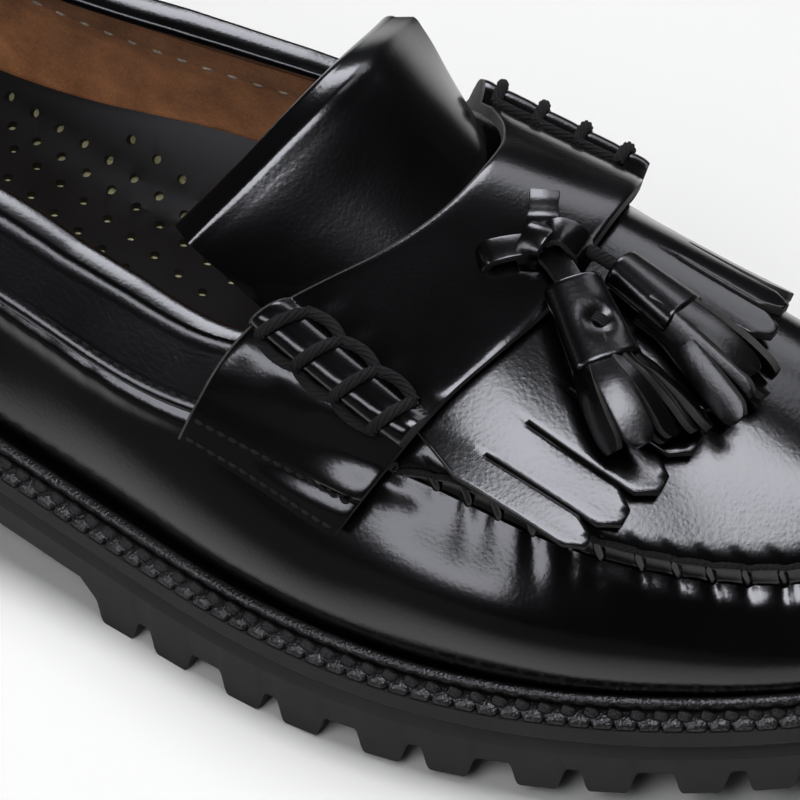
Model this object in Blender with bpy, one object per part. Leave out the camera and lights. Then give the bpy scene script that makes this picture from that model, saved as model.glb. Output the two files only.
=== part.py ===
"""Right loafer with a lug sole, saddle strap, fringe and tassels: a solid for each piece that a maker joins.

Tables and functions are in millimetres, and the meshes are in metres. +X points to the toe, +Y to the inner
side of this right shoe and +Z up. The lugs stand on Z = 0.
"""

import bmesh
import bpy
import numpy as np
from mathutils import Vector
from mathutils.bvhtree import BVHTree

MM = 0.001
WELD = 1e-6

# Sole
HEEL_HEIGHT = 29.0
BALL_HEIGHT = 17.0
HEEL_FLAT_END = -100.0
BALL_FLAT_START = 25.0
TOE_SPRING = 8.0
SPRING_START = 42.0
TREAD_SPRING = 11.0
TREAD_START = 20.0
TREAD_BEND = 1.6
TOE_END = 143.0
LUG_DEPTH = 5.5
LUG_HALF = 3.1
LUG_FLANK = 1.1
LUG_PAIR_PITCH = 25.8
LUG_PAIR_GAP = 11.2
FOREPART_LUG_START_X = 0.5
HEEL_BREAST_X = -66.0
BREAST_RUN = 3.0
WAIST_THICKNESS = 11.6
LEDGE_OFFSET = 6.2
LUG_WALL_INSET = 1.2
LUG_WIDTH = 14.0
WAIST_ROWS = 7
# step of the sole's side, distance in from the ledge, depth under the sole's upper face
SOLE_SIDE = (
    ("ledge_top", 0.0, 0.0),
    ("ledge_foot", 0.0, 2.6),
    ("groove", 1.4, 4.4),
    ("lug_wall_top", 0.4, 6.2),
)
# corner of the tread's middle rib, share of the way across the shoe, whether it touches the floor
MIDDLE_RIB = (
    ("outer_foot", 0.26, False),
    ("outer_edge", 0.30, True),
    ("inner_edge", 0.70, True),
    ("inner_foot", 0.74, False),
)
# corner of the welt, distance out from the feather line, height over the sole
WELT_PROFILE = (
    ("inner_foot", 1.4, 0.3),
    ("flange_foot", 4.6, 0.3),
    ("flange_edge", 4.6, 1.9),
    ("groove", 3.7, 2.2),
    ("bead_outer", 3.3, 3.5),
    ("bead_top", 2.5, 4.0),
    ("bead_inner", 1.7, 3.4),
)
# corner of the insole, distance out from the feather line, height over the sole
INSOLE_PROFILE = (
    ("foot", -3.0, 0.4),
    ("turned_edge", -4.4, 10.5),
    ("bed_edge", -7.5, 7.6),
    ("bed", -14.0, 6.6),
)
INSOLE_ROWS = 30
# the insole climbs the inner wall at the arch, with a share of it at each corner of the profile
ARCH_RISE = 11.5
ARCH_OUT = 2.0
ARCH_X = -16.0
ARCH_REACH = 36.0
ARCH_SHARES = (0.0, 1.0, 0.7, 0.2)

# Upper
WALL = 1.8
FEATHER_LIFT = 1.0
APRON_RIDGE = 4.2
PANEL_STEP = 1.2
TOPLINE_ROLL = 2.6
THROAT_ROLL = 0.9
UPPER_COLUMNS = 66
LOW_PULL = 0.45
HIGH_PULL = 0.25
HIGH_BULGE = 0.8
WALL_LEVELS = (0.0, 0.14, 0.3, 0.48, 0.66, 0.84, 1.0)
TOP_LEVELS = (1.001, 1.1, 1.28, 1.46, 1.64, 1.8)
LINING_LEVELS = (1.75, 1.5, 1.25, 0.9, 0.6, 0.3, 0.0)
RIM_LEVEL = 1.98
ROLL_TURNS = (-25.0, 30.0, 90.0, 150.0, 205.0)
# stations over which the apron seam takes over from the collar panel's seam, on each side
APRON_OUTER = (5.9, 6.5)
APRON_INNER = (13.5, 14.1)
SHARP_ANGLE = 40.0

# Strap, fringe and tassels
GAP = 0.35
STRAP_THICKNESS = 1.9
ROLL_HEIGHT = 4.2
ROLL_HALF_WIDTH = 5.2
ROLL_RADIUS = 36.0
PILLOWS = 3
PILLOW_DIP = 0.14
STRAP_ROWS = 9
STRAP_EASING = 4
# the strap's ends slant: degrees lower at the front edge, from this angle outwards
END_SLANT = 5.0
SLANT_START = 62.0
SLANT_FULL = 88.0
# stretch of the strap, first angle, last angle, columns
STRAP_SPANS = (
    ("outer_end", -88, -72, 4),
    ("outer_roll", -72, -42, 11),
    ("middle", -42, 38, 12),
    ("inner_roll", 38, 62, 9),
    ("inner_end", 62, 88, 5),
)
FRINGE_THICKNESS = 1.5
TONGUE_THICKNESS = 2.0
TONGUE_FOLD = 2.4
TONGUE_STATIONS = (6.4, 13.6)
TONGUE_COLUMNS = 19
TONGUE_ARCH = 2.5
TONGUE_SHARES = (0.0, 0.2, 0.4, 0.6, 0.8, 0.95)
FOLD_TURNS = (45.0, 0.0, -45.0, -90.0)
AXIS_Y = 2.0
AXIS_Z = 40.0
FAR_OUTSIDE = 150.0
SEARCH = 1.5

# station, feather x y, seam x y z, rim x y z, bulge of the wall, crown of what lies above the seam
STATIONS = (
    ("heel_back", -138, 0.0, -139.5, 0.0, 55.0, -132.0, 0.0, 83.0, 2.5, 0.0),
    ("heel_back_outer", -129.5, -20.0, -131.0, -19.5, 54.5, -125.5, -15.0, 81.5, 2.5, 0.0),
    ("heel_outer", -107, -30.3, -108.0, -29.8, 52.5, -105.5, -23.0, 75.0, 2.5, 0.0),
    ("waist_rear_outer", -68, -33.3, -69.0, -30.8, 50.5, -70.0, -24.5, 66.5, 2.0, 0.0),
    ("waist_outer", -28, -37.0, -29.0, -33.0, 48.8, -31.0, -26.0, 63.5, 2.0, 0.0),
    ("strap_outer", 4, -41.0, 6.0, -38.3, 46.8, 4.0, -30.5, 62.0, 3.4, 0.05),
    ("ball_outer", 38, -44.8, 42.0, -37.0, 50.0, 22.0, -29.0, 64.0, 6.0, 0.2),
    ("fore_outer", 73, -39.7, 74.0, -35.0, 46.5, 33.0, -19.0, 69.0, 6.4, 0.3),
    ("toe_side_outer", 105, -25.5, 101.5, -22.0, 41.0, 37.0, -8.0, 72.0, 6.0, 0.3),
    ("toe_corner_outer", 127, -8.5, 118.0, -7.5, 42.3, 38.3, -1.0, 73.0, 6.0, 0.35),
    ("toe_tip", 137, 9.0, 124.5, 8.0, 42.8, 38.6, 4.0, 73.2, 5.8, 0.35),
    ("toe_corner_inner", 129, 25.5, 118.0, 21.5, 42.0, 38.0, 9.5, 72.3, 5.4, 0.35),
    ("toe_side_inner", 106, 37.5, 100.0, 28.0, 39.6, 36.0, 15.5, 70.0, 5.4, 0.2),
    ("ball_inner", 70, 43.5, 72.0, 30.5, 42.0, 32.0, 22.0, 66.2, 5.6, 0.15),
    ("fore_inner", 34, 41.3, 40.0, 33.0, 46.3, 23.0, 28.0, 63.0, 4.4, 0.1),
    ("strap_inner", 2, 34.7, 4.0, 32.8, 48.0, 3.0, 28.3, 62.8, 3.0, 0.05),
    ("waist_inner", -32, 29.2, -31.0, 29.3, 49.3, -32.0, 25.0, 63.3, 2.6, 0.0),
    ("waist_rear_inner", -68, 29.7, -69.0, 29.2, 50.8, -70.0, 23.6, 66.6, 2.2, 0.0),
    ("heel_inner", -107, 29.8, -108.0, 29.3, 53.0, -105.5, 22.5, 75.5, 2.5, 0.0),
    ("heel_back_inner", -129.5, 20.0, -131.0, 19.5, 54.5, -125.5, 14.5, 81.5, 2.5, 0.0),
)
ROUND = len(STATIONS)
TOE = ROUND // 2

# place, angle from upright about the strap's axis, rear edge x, front edge x
STRAP_EDGES = (
    ("outer_end", -88.0, 11.0, 41.0),
    ("outer_roll", -55.0, 18.5, 52.5),
    ("outer_shoulder", -30.0, 32.0, 58.5),
    ("middle", 0.0, 37.5, 59.5),
    ("inner_shoulder", 28.0, 33.0, 57.5),
    ("inner_roll", 50.0, 20.5, 53.0),
    ("inner_end", 88.0, 13.0, 42.0),
)
# roll, angle at the rear edge, angle at the front edge
STRAP_ROLLS = (("outer", -51.0, -62.0), ("inner", 48.0, 49.0))

# strip, outer edge y, tip x
FRINGE = (
    ("strip_1", -35.4, 79.0),
    ("strip_2", -31.0, 82.5),
    ("strip_3", -24.5, 85.0),
    ("strip_4", -17.5, 86.5),
    ("strip_5", -10.0, 87.5),
    ("strip_6", -2.5, 88.0),
    ("strip_7", 5.0, 87.5),
    ("strip_8", 11.5, 86.0),
    ("strip_9", 17.5, 84.0),
    ("strip_10", 23.3, 81.0),
)
FRINGE_END_Y = 29.3
SLIT = 0.8
FRINGE_ROOT_X = 45.0
FRINGE_ROOT_SHARE = 0.88
FRINGE_SLIT_X = 65.0
FRINGE_SLIT_SAG = 8.0
FRINGE_CHAMFER = 3.2
FRINGE_TIP_LIFT = 0.9
BAND_SHARES = (0.0, 0.5, 1.0)
STRIP_SHARES = (0.25, 0.55, 0.85, 1.0)
STRIP_COLUMNS = (0.0, 0.3, 0.7, 1.0)

# edge of the tongue's fold, x y z
TONGUE_FOLD_LINE = ((4.2, -30.0, 74.0), (12.7, 0.6, 87.0), (6.5, 30.5, 72.6))

# tassel, knot end x y, skirt end x y, turn of its flat side about its length
TASSELS = (
    ("tassel_near", 58.2, -7.0, 84.0, -22.5, -15.0),
    ("tassel_far", 62.5, -1.8, 91.0, -3.2, 50.0),
)
TASSEL_FLATNESS = 0.62
# share of the tassel's length, radius
TASSEL_PROFILE = (
    (0.0, 1.2),
    (0.10, 1.3),
    (0.12, 4.2),
    (0.15, 4.8),
    (0.50, 5.2),
    (0.53, 4.6),
    (0.66, 5.4),
    (0.84, 5.9),
    (1.0, 5.2),
)
TASSEL_STRIPS = 8
STRIP_GROOVE = 0.16
SKIRT_START = 0.53
SKIRT_FULL = 0.66

# x, angle about the strap's axis, half width, half thickness, height over the strap
TIE = (
    (47.0, -22.0, 2.2, 0.8, 1.2),
    (48.5, -19.5, 2.2, 0.9, 2.2),
    (51.0, -14.5, 2.2, 1.1, 2.6),
    (53.2, -11.0, 3.4, 2.1, 2.7),
    (53.8, -8.0, 3.8, 2.3, 2.8),
    (53.0, -5.0, 3.4, 2.1, 2.7),
    (50.5, -1.5, 2.2, 1.1, 2.5),
    (48.2, 0.8, 2.2, 0.9, 2.1),
    (47.2, 2.6, 2.2, 0.8, 1.2),
)
TIE_ROWS = 20
TIE_SIDES = 8

# finish, colour, roughness
FINISHES = {
    "rubber": ((0.022, 0.020, 0.018), 0.72),
    "gloss_leather": ((0.006, 0.006, 0.007), 0.16),
    "welt_leather": ((0.010, 0.010, 0.010), 0.38),
    "insole_leather": ((0.014, 0.014, 0.015), 0.46),
}


def clear_scene():
    """Removes what the opened file holds."""
    for obj in list(bpy.data.objects):
        bpy.data.objects.remove(obj, do_unlink=True)


def finish_material(name):
    """A Principled material with the finish's colour and roughness."""
    colour, roughness = FINISHES[name]
    material = bpy.data.materials.get(name) or bpy.data.materials.new(name)
    material.use_nodes = True
    shader = material.node_tree.nodes["Principled BSDF"]
    shader.inputs["Base Color"].default_value = (*colour, 1.0)
    shader.inputs["Roughness"].default_value = roughness
    shader.inputs["Metallic"].default_value = 0.0
    return material


def closed_spline(rows):
    """The smooth closed curve through evenly numbered rows, as a function of the row number."""
    values = np.asarray(rows, float)
    count = len(values)
    system = 4.0 * np.eye(count)
    system += np.roll(np.eye(count), 1, axis=0) + np.roll(np.eye(count), -1, axis=0)
    bend = np.linalg.solve(system, 6.0 * (np.roll(values, -1, 0) - 2.0 * values + np.roll(values, 1, 0)))

    def at(number):
        number = np.asarray(number, float) % count
        first = np.floor(number).astype(int) % count
        after = (first + 1) % count
        share = (number - np.floor(number))[..., None]
        rest = 1.0 - share
        straight = rest * values[first] + share * values[after]
        return straight + ((rest**3 - rest) * bend[first] + (share**3 - share) * bend[after]) / 6.0

    return at


station_row = closed_spline([row[1:] for row in STATIONS])


def ease(value, start, end):
    """0 before start, 1 after end and smooth between."""
    share = np.clip((np.asarray(value, float) - start) / (end - start), 0.0, 1.0)
    return share * share * (3.0 - 2.0 * share)


def toe_spring(x):
    """How far the sole's upper face climbs to the toe."""
    return TOE_SPRING * np.clip((np.asarray(x) - SPRING_START) / (TOE_END - SPRING_START), 0.0, None) ** 2


def tread_rise(x):
    """How far the tread curves up from the floor in front of the ball."""
    share = np.clip((np.asarray(x) - TREAD_START) / (TOE_END - TREAD_START), 0.0, None)
    return TREAD_SPRING * share**TREAD_BEND


def sole_top(x):
    """Height of the sole's upper face."""
    return HEEL_HEIGHT + (BALL_HEIGHT - HEEL_HEIGHT) * ease(x, HEEL_FLAT_END, BALL_FLAT_START) + toe_spring(x)


def outward(station):
    """Level direction out of the shoe, square to the feather line."""
    station = np.asarray(station, float)
    ahead = (station_row(station + WELD) - station_row(station - WELD))[..., :2]
    ahead = ahead / np.linalg.norm(ahead, axis=-1, keepdims=True)
    return np.stack([ahead[..., 1], -ahead[..., 0], np.zeros_like(ahead[..., 0])], -1)


def outline(station, offset, height):
    """A point this far out from the feather line, this high over the sole's upper face."""
    flat = station_row(station)[..., :2] + outward(station)[..., :2] * offset
    return np.concatenate([flat, (sole_top(flat[..., 0]) + height)[..., None]], -1)


def front_share(station):
    """1 where the apron seam runs round the forepart, 0 along the collar."""
    station = np.asarray(station, float)
    return ease(station, *APRON_OUTER) * (1.0 - ease(station, *APRON_INNER))


def upper_point(station, level):
    """The upper's outer surface: level 0 to 1 climbs the wall to the seam, 1 to 2 goes on to the rim."""
    station, level = np.broadcast_arrays(np.asarray(station, float), np.asarray(level, float))
    row = station_row(station)
    out = outward(station)
    up = np.array([0.0, 0.0, 1.0])
    feather = outline(station, 0.0, FEATHER_LIFT)
    seam, rim = row[..., 2:5], row[..., 5:8]
    bulge, crown = row[..., 8:9], row[..., 9:10]
    height = (seam - feather)[..., 2:3]
    climb = np.clip(level, 0.0, 1.0)[..., None]
    rest = 1.0 - climb
    low = feather + up * LOW_PULL * height + out * bulge
    high = seam - up * HIGH_PULL * height + out * HIGH_BULGE * bulge
    wall = rest**3 * feather + 3 * rest**2 * climb * low + 3 * rest * climb**2 * high + climb**3 * seam
    front = front_share(station)[..., None]
    edge = seam + up * APRON_RIDGE * front + out * PANEL_STEP * (1.0 - front)
    share = np.clip(level - 1.0, 0.0, 1.0)[..., None]
    rise = share + crown * share * (1.0 - share)
    top = edge + (rim - edge) * np.concatenate([share, share, rise], -1)
    return np.where(level[..., None] <= 1.0, wall, top)


def upper_frame(station, level):
    """Outward normal and upward direction of the upper's surface, kept to one side of the seam."""
    step = 0.01
    low = np.where(level > 1.0, np.clip(level - step, 1.0 + step, 2.0), np.clip(level - step, 0.0, 1.0))
    high = np.where(level > 1.0, np.clip(level + step, 1.0 + step, 2.0), np.clip(level + step, 0.0, 1.0))
    climb = upper_point(station, high) - upper_point(station, low)
    ahead = upper_point(station + step, level) - upper_point(station - step, level)
    normal = np.cross(ahead, climb)
    normal /= np.linalg.norm(normal, axis=-1, keepdims=True)
    climb = np.cross(normal, ahead)
    return normal, climb / np.linalg.norm(climb, axis=-1, keepdims=True)


def upper_section():
    """Closed sections of the upper's wall, one row for each column round the shoe."""
    station = np.linspace(0.0, ROUND, UPPER_COLUMNS + 1)
    front = front_share(station)[:, None]
    section = [upper_point(station, level) for level in WALL_LEVELS + TOP_LEVELS]
    normal, climb = upper_frame(station, np.full_like(station, RIM_LEVEL))
    roll = THROAT_ROLL * front + TOPLINE_ROLL * (1.0 - front)
    centre = upper_point(station, 2.0) - normal * THROAT_ROLL
    for turn in np.radians(ROLL_TURNS):
        section.append(centre + roll * (np.cos(turn) * normal + np.sin(turn) * climb))
    for level in LINING_LEVELS:
        normal, _ = upper_frame(station, np.full_like(station, level))
        section.append(upper_point(station, level) - normal * WALL)
    section.append(section[0])
    return np.stack(section, 1)


def skin(name, net, finish, smooth=True):
    """An object from a net of points: a grid takes their places, its seams are welded and its ends filled."""
    rows, columns = net.shape[:2]
    bm = bmesh.new()
    bmesh.ops.create_grid(bm, x_segments=rows - 1, y_segments=columns - 1, size=0.5)
    for vert in bm.verts:
        row = round((vert.co.x + 0.5) * (rows - 1))
        column = round((vert.co.y + 0.5) * (columns - 1))
        vert.co = Vector(net[row, column]) * MM
    bmesh.ops.remove_doubles(bm, verts=bm.verts, dist=WELD)
    bmesh.ops.dissolve_degenerate(bm, edges=bm.edges, dist=WELD)
    bmesh.ops.holes_fill(bm, edges=[edge for edge in bm.edges if edge.is_boundary])
    return placed(name, bm, finish, smooth)


def placed(name, bm, finish, smooth=True):
    """A named object with the bmesh's faces turned outwards."""
    bmesh.ops.recalc_face_normals(bm, faces=bm.faces)
    mesh = bpy.data.meshes.new(name)
    bm.to_mesh(mesh)
    bm.free()
    mesh.materials.append(finish_material(finish))
    if smooth:
        mesh.shade_smooth()
        mesh.set_sharp_from_angle(angle=np.radians(SHARP_ANGLE))
    obj = bpy.data.objects.new(name, mesh)
    bpy.context.scene.collection.objects.link(obj)
    return obj


def surface_tree(*objects):
    """The objects' surfaces as one tree that rays can meet."""
    bm = bmesh.new()
    graph = bpy.context.evaluated_depsgraph_get()
    for obj in objects:
        bm.from_object(obj, graph)
    tree = BVHTree.FromBMesh(bm)
    bm.free()
    return tree


def reach(tree, x, angle):
    """Distance from the strap's axis to the outermost surface close to this x, in this direction."""
    direction = Vector((0.0, np.sin(np.radians(angle)), np.cos(np.radians(angle))))
    hits = []
    spread = SEARCH
    while not hits:
        for step in (-spread, 0.0, spread):
            start = Vector((x + step, AXIS_Y, AXIS_Z)) + direction * FAR_OUTSIDE
            distance = tree.ray_cast(start * MM, -direction)[3]
            if distance is not None:
                hits.append(FAR_OUTSIDE - distance / MM)
        spread += SEARCH
    return max(hits)


def spoke(x, angle, distance):
    """The point at this distance from the strap's axis."""
    turn = np.radians(angle)
    return np.array([x, AXIS_Y + distance * np.sin(turn), AXIS_Z + distance * np.cos(turn)])


def drop(tree, x, y):
    """Height of the topmost surface under this point."""
    hit = tree.ray_cast(Vector((x, y, FAR_OUTSIDE)) * MM, Vector((0.0, 0.0, -1.0)))
    return hit[0].z / MM


def smooth_curve(places, values, at):
    """A smooth open curve through a few places, read at others."""
    places, values = np.asarray(places, float), np.asarray(values, float)
    slope = np.gradient(values, places, axis=0)
    at = np.clip(np.asarray(at, float), places[0], places[-1])
    first = np.clip(np.searchsorted(places, at, side="right") - 1, 0, len(places) - 2)
    span = places[first + 1] - places[first]
    share = (at - places[first]) / span
    if values.ndim > 1:
        share, span = share[..., None], span[..., None]
    bow = 3 * share**2 - 2 * share**3
    leave, arrive = share * (1 - share) ** 2, share**2 * (share - 1)
    ends = (1 - bow) * values[first] + bow * values[first + 1]
    return ends + span * (leave * slope[first] + arrive * slope[first + 1])


def lug_rows():
    """Rows of the sole from heel to toe: station, whether it ends on a lug, whether it is in the waist."""
    station = np.linspace(0.0, TOE, 4001)
    edge = outline(station, LEDGE_OFFSET, 0.0)
    length = np.concatenate([[0.0], np.cumsum(np.linalg.norm(np.diff(edge[:, :2], axis=0), axis=1))])
    breast = np.interp(HEEL_BREAST_X, edge[:, 0], length)
    forepart = np.interp(FOREPART_LUG_START_X, edge[:, 0], length)
    half = LUG_HALF + LUG_FLANK
    rows = [(0.0, True, False)]
    for start, end in ((LUG_PAIR_GAP, breast - half), (forepart, length[-1] - half)):
        for pair in np.arange(start, end, LUG_PAIR_PITCH):
            for middle in (pair, pair + LUG_PAIR_GAP):
                if middle > end:
                    continue
                rows += [(middle - half, False, False), (middle - LUG_HALF, True, False)]
                rows += [(middle + LUG_HALF, True, False), (middle + half, False, False)]
    rows += [(breast - BREAST_RUN, True, False), (breast, True, False)]
    waist = np.linspace(breast + BREAST_RUN, forepart - half - BREAST_RUN, WAIST_ROWS)
    rows += [(place, False, True) for place in waist]
    rows.append((length[-1], True, False))
    rows.sort()
    return [(np.interp(place, length, station), lug, waist) for place, lug, waist in rows]


def sole_section(station, lug, waist):
    """One closed cross-section of the sole, from the outer edge under the tread to the inner edge."""
    centre_x = 0.5 * (outline(station, 0.0, 0.0)[0] + outline(ROUND - station, 0.0, 0.0)[0])
    root = sole_top(centre_x) - WAIST_THICKNESS if waist else LUG_DEPTH + tread_rise(centre_x)
    bottom = tread_rise(centre_x) if lug else root
    sides = []
    for side in (station, ROUND - station):
        top = sole_top(outline(side, LEDGE_OFFSET, 0.0)[0])
        profile = [(LEDGE_OFFSET - inset, top - depth) for _, inset, depth in SOLE_SIDE]
        lug_outer = LEDGE_OFFSET - LUG_WALL_INSET
        lug_inner = lug_outer - LUG_WIDTH
        profile += [(lug_outer, bottom), (lug_inner, bottom), (lug_inner - LUG_FLANK, root)]
        sides.append([[*outline(side, offset, 0.0)[:2], height] for offset, height in profile])
    outer, inner = (np.array(side) for side in sides)
    rib = []
    for _, share, touches in MIDDLE_RIB:
        rib.append([*(outer[-1, :2] * (1.0 - share) + inner[-1, :2] * share), bottom if touches else root])
    return np.concatenate([outer, rib, inner[::-1], outer[:1]])


def build_outsole():
    """Sole and heel in one, with lugs round the edge, ribs along the middle and stepped sides."""
    net = np.array([sole_section(*row) for row in lug_rows()])
    return skin("outsole", net, "rubber", smooth=False)


def build_welt():
    """Stitched flange with a bead that hugs the upper."""
    station = np.linspace(0.0, ROUND, UPPER_COLUMNS + 1)
    section = [outline(station, offset, height) for _, offset, height in WELT_PROFILE]
    section.append(section[0])
    return skin("welt", np.stack(section, 1), "welt_leather")


def build_upper():
    """The hollow upper: wall, raised apron seam, collar panel and rolled topline in one shell."""
    return skin("upper", upper_section(), "gloss_leather")


def build_insole():
    """The footbed, with its edge turned up at the wall."""
    station = np.linspace(0.0, TOE, INSOLE_ROWS)
    outer = [outline(station, offset, height) for _, offset, height in INSOLE_PROFILE]
    inner = [outline(ROUND - station, offset, height) for _, offset, height in INSOLE_PROFILE]
    arch = np.exp(-(((inner[0][:, :1] - ARCH_X) / ARCH_REACH) ** 2))
    climb = ARCH_OUT * outward(ROUND - station) + (0.0, 0.0, ARCH_RISE)
    inner = [line + share * arch * climb for line, share in zip(inner, ARCH_SHARES)]
    return skin("insole", np.stack([*outer, *inner[::-1], outer[0]], 1), "insole_leather")


def build_tongue():
    """The apron's tail behind the throat, ending in a rounded fold."""
    station = np.linspace(*TONGUE_STATIONS, TONGUE_COLUMNS)
    _, climb = upper_frame(station, np.full_like(station, RIM_LEVEL))
    root = upper_point(station, 2.0) + climb * (THROAT_ROLL + 3.0 * GAP)
    fold = smooth_curve((0.0, 0.5, 1.0), TONGUE_FOLD_LINE, np.linspace(0.0, 1.0, len(station)))
    run = fold - root
    side = np.gradient(fold + root, axis=0)
    square = np.cross(side, run)
    square /= np.linalg.norm(square, axis=1, keepdims=True)
    back = run / np.linalg.norm(run, axis=1, keepdims=True)
    arch = [(share, TONGUE_ARCH * share * (1.0 - share)) for share in TONGUE_SHARES]
    section = [root + run * share + square * lift for share, lift in arch]
    centre = fold - square * 0.5 * TONGUE_THICKNESS
    for turn in np.radians(FOLD_TURNS):
        section.append(centre + TONGUE_FOLD * (np.cos(turn) * back + np.sin(turn) * square))
    for share, lift in arch[::-1]:
        section.append(root + run * share + square * (lift - TONGUE_THICKNESS))
    section.append(section[0])
    return skin("tongue", np.stack(section, 1), "gloss_leather")


def fringe_columns():
    """Columns across the fringe, four to a strip: y, and the x where the strip's chamfered tip ends."""
    edges = [row[1] for row in FRINGE] + [FRINGE_END_Y]
    columns = []
    for (_, left, tip), after in zip(FRINGE, edges[1:]):
        for share in STRIP_COLUMNS:
            end = tip if 0.0 < share < 1.0 else tip - FRINGE_CHAMFER
            columns.append((left + (after - SLIT - left) * share, end))
    return columns


def fringe_point(tree, row, y, end):
    """A point of the fringe: the first rows are the band under the strap, the others run out to the tip."""
    half_width = 0.5 * (FRINGE_END_Y - FRINGE[0][1])
    slit = FRINGE_SLIT_X - FRINGE_SLIT_SAG * ((y - AXIS_Y) / half_width) ** 2
    if row < len(BAND_SHARES):
        share = BAND_SHARES[row]
        x, lift = FRINGE_ROOT_X + (slit - FRINGE_ROOT_X) * share, 0.0
        y = AXIS_Y + (y - AXIS_Y) * (FRINGE_ROOT_SHARE + (1.0 - FRINGE_ROOT_SHARE) * share)
    else:
        share = STRIP_SHARES[row - len(BAND_SHARES)]
        x, lift = slit + (end - slit) * share, FRINGE_TIP_LIFT * share**2
    return Vector((x, y, lying(tree, x, y) + lift)) * MM


def build_kiltie(upper):
    """The fringe that lies on the apron: a band under the strap, cut into strips towards the toe."""
    tree = surface_tree(upper)
    columns = fringe_columns()
    rows = len(BAND_SHARES) + len(STRIP_SHARES)
    bm = bmesh.new()
    bmesh.ops.create_grid(bm, x_segments=rows - 1, y_segments=len(columns) - 1, size=0.5)
    slits = []
    for face in bm.faces:
        middle = face.calc_center_median()
        column = int((middle.y + 0.5) * (len(columns) - 1))
        row = int((middle.x + 0.5) * (rows - 1))
        if (column + 1) % len(STRIP_COLUMNS) == 0 and row >= len(BAND_SHARES) - 1:
            slits.append(face)
    for vert in bm.verts:
        row = round((vert.co.x + 0.5) * (rows - 1))
        vert.co = fringe_point(tree, row, *columns[round((vert.co.y + 0.5) * (len(columns) - 1))])
    bmesh.ops.delete(bm, geom=slits, context="FACES")
    obj = placed("kiltie", bm, "gloss_leather")
    if obj.data.polygons[0].normal.z < 0.0:
        obj.data.flip_normals()
    shell = obj.modifiers.new("thickness", "SOLIDIFY")
    shell.thickness = FRINGE_THICKNESS * MM
    shell.offset = 1.0
    return obj


def lying(tree, x, y):
    """Height of a soft piece that bridges the hollows round this place."""
    around = (-SEARCH, 0.0, SEARCH)
    near = [drop(tree, x + step_x, y + step_y) for step_x in around for step_y in around]
    return 0.5 * (max(near) + drop(tree, x, y)) + 2.0 * GAP


def roll_rise(angle, share):
    """How far the strap stands up at its two laced rolls, with a pillow between each pair of wraps."""
    rise = 0.0
    for _, rear, front in STRAP_ROLLS:
        middle = rear + (front - rear) * share
        away = np.radians(angle - middle) * ROLL_RADIUS / ROLL_HALF_WIDTH
        pillow = 1.0 - PILLOW_DIP * (1.0 - abs(np.sin(np.pi * PILLOWS * share)))
        rise += ROLL_HEIGHT * pillow * np.exp(-(abs(away) ** 3))
    return rise


def build_strap(*under):
    """The saddle strap over the instep, with its laced rolls raised in one piece with it."""
    tree = surface_tree(*under)
    angles = np.unique(np.concatenate([np.linspace(*span) for _, *span in STRAP_SPANS]))
    places = [row[1] for row in STRAP_EDGES]
    rear = smooth_curve(places, [row[2] for row in STRAP_EDGES], angles)
    front = smooth_curve(places, [row[3] for row in STRAP_EDGES], angles)
    shares = np.linspace(0.0, 1.0, STRAP_ROWS)
    xs = rear[:, None] + (front - rear)[:, None] * shares
    slant = END_SLANT * np.sign(angles) * ease(abs(angles), SLANT_START, SLANT_FULL)
    lean = angles[:, None] + slant[:, None] * (shares - 0.5)
    floor = np.array([[reach(tree, x, angle) for x, angle in zip(*row)] for row in zip(xs, lean)])
    bed = floor.copy()
    for _ in range(STRAP_EASING):
        padded = np.pad(bed, 1, mode="edge")
        mean = 0.25 * (padded[2:, 1:-1] + padded[:-2, 1:-1] + padded[1:-1, 2:] + padded[1:-1, :-2])
        bed = np.maximum(floor, mean)
    net = []
    for row_x, row_angle, row_bed in zip(xs, lean, bed):
        low = row_bed + 2.0 * GAP
        high = low + STRAP_THICKNESS + [roll_rise(angle, share) for angle, share in zip(row_angle, shares)]
        section = [spoke(*place) for place in zip(row_x, row_angle, high)]
        section += [spoke(*place) for place in zip(row_x[::-1], row_angle[::-1], low[::-1])]
        net.append([*section, section[0]])
    return skin("saddle_strap", np.array(net), "gloss_leather")


def build_tie(strap):
    """The flat thong between its two slots, knotted in the middle."""
    tree = surface_tree(strap)
    rows = smooth_curve(np.arange(len(TIE)), TIE, np.linspace(0.0, len(TIE) - 1, TIE_ROWS))
    line = np.array([spoke(x, angle, reach(tree, x, angle) + lift) for x, angle, _, _, lift in rows])
    ahead = np.gradient(line, axis=0)
    ahead /= np.linalg.norm(ahead, axis=1, keepdims=True)
    up = np.array([spoke(0.0, angle, 1.0) - spoke(0.0, angle, 0.0) for _, angle, _, _, _ in rows])
    side = np.cross(ahead, up)
    side /= np.linalg.norm(side, axis=1, keepdims=True)
    net = []
    for turn in np.linspace(0.0, 2.0 * np.pi, TIE_SIDES + 1):
        flat = np.cos(turn) * rows[:, 2:3] * side + np.sin(turn) * rows[:, 3:4] * up
        net.append(line + flat)
    return skin("tie", np.stack(net, 1), "gloss_leather")


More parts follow.
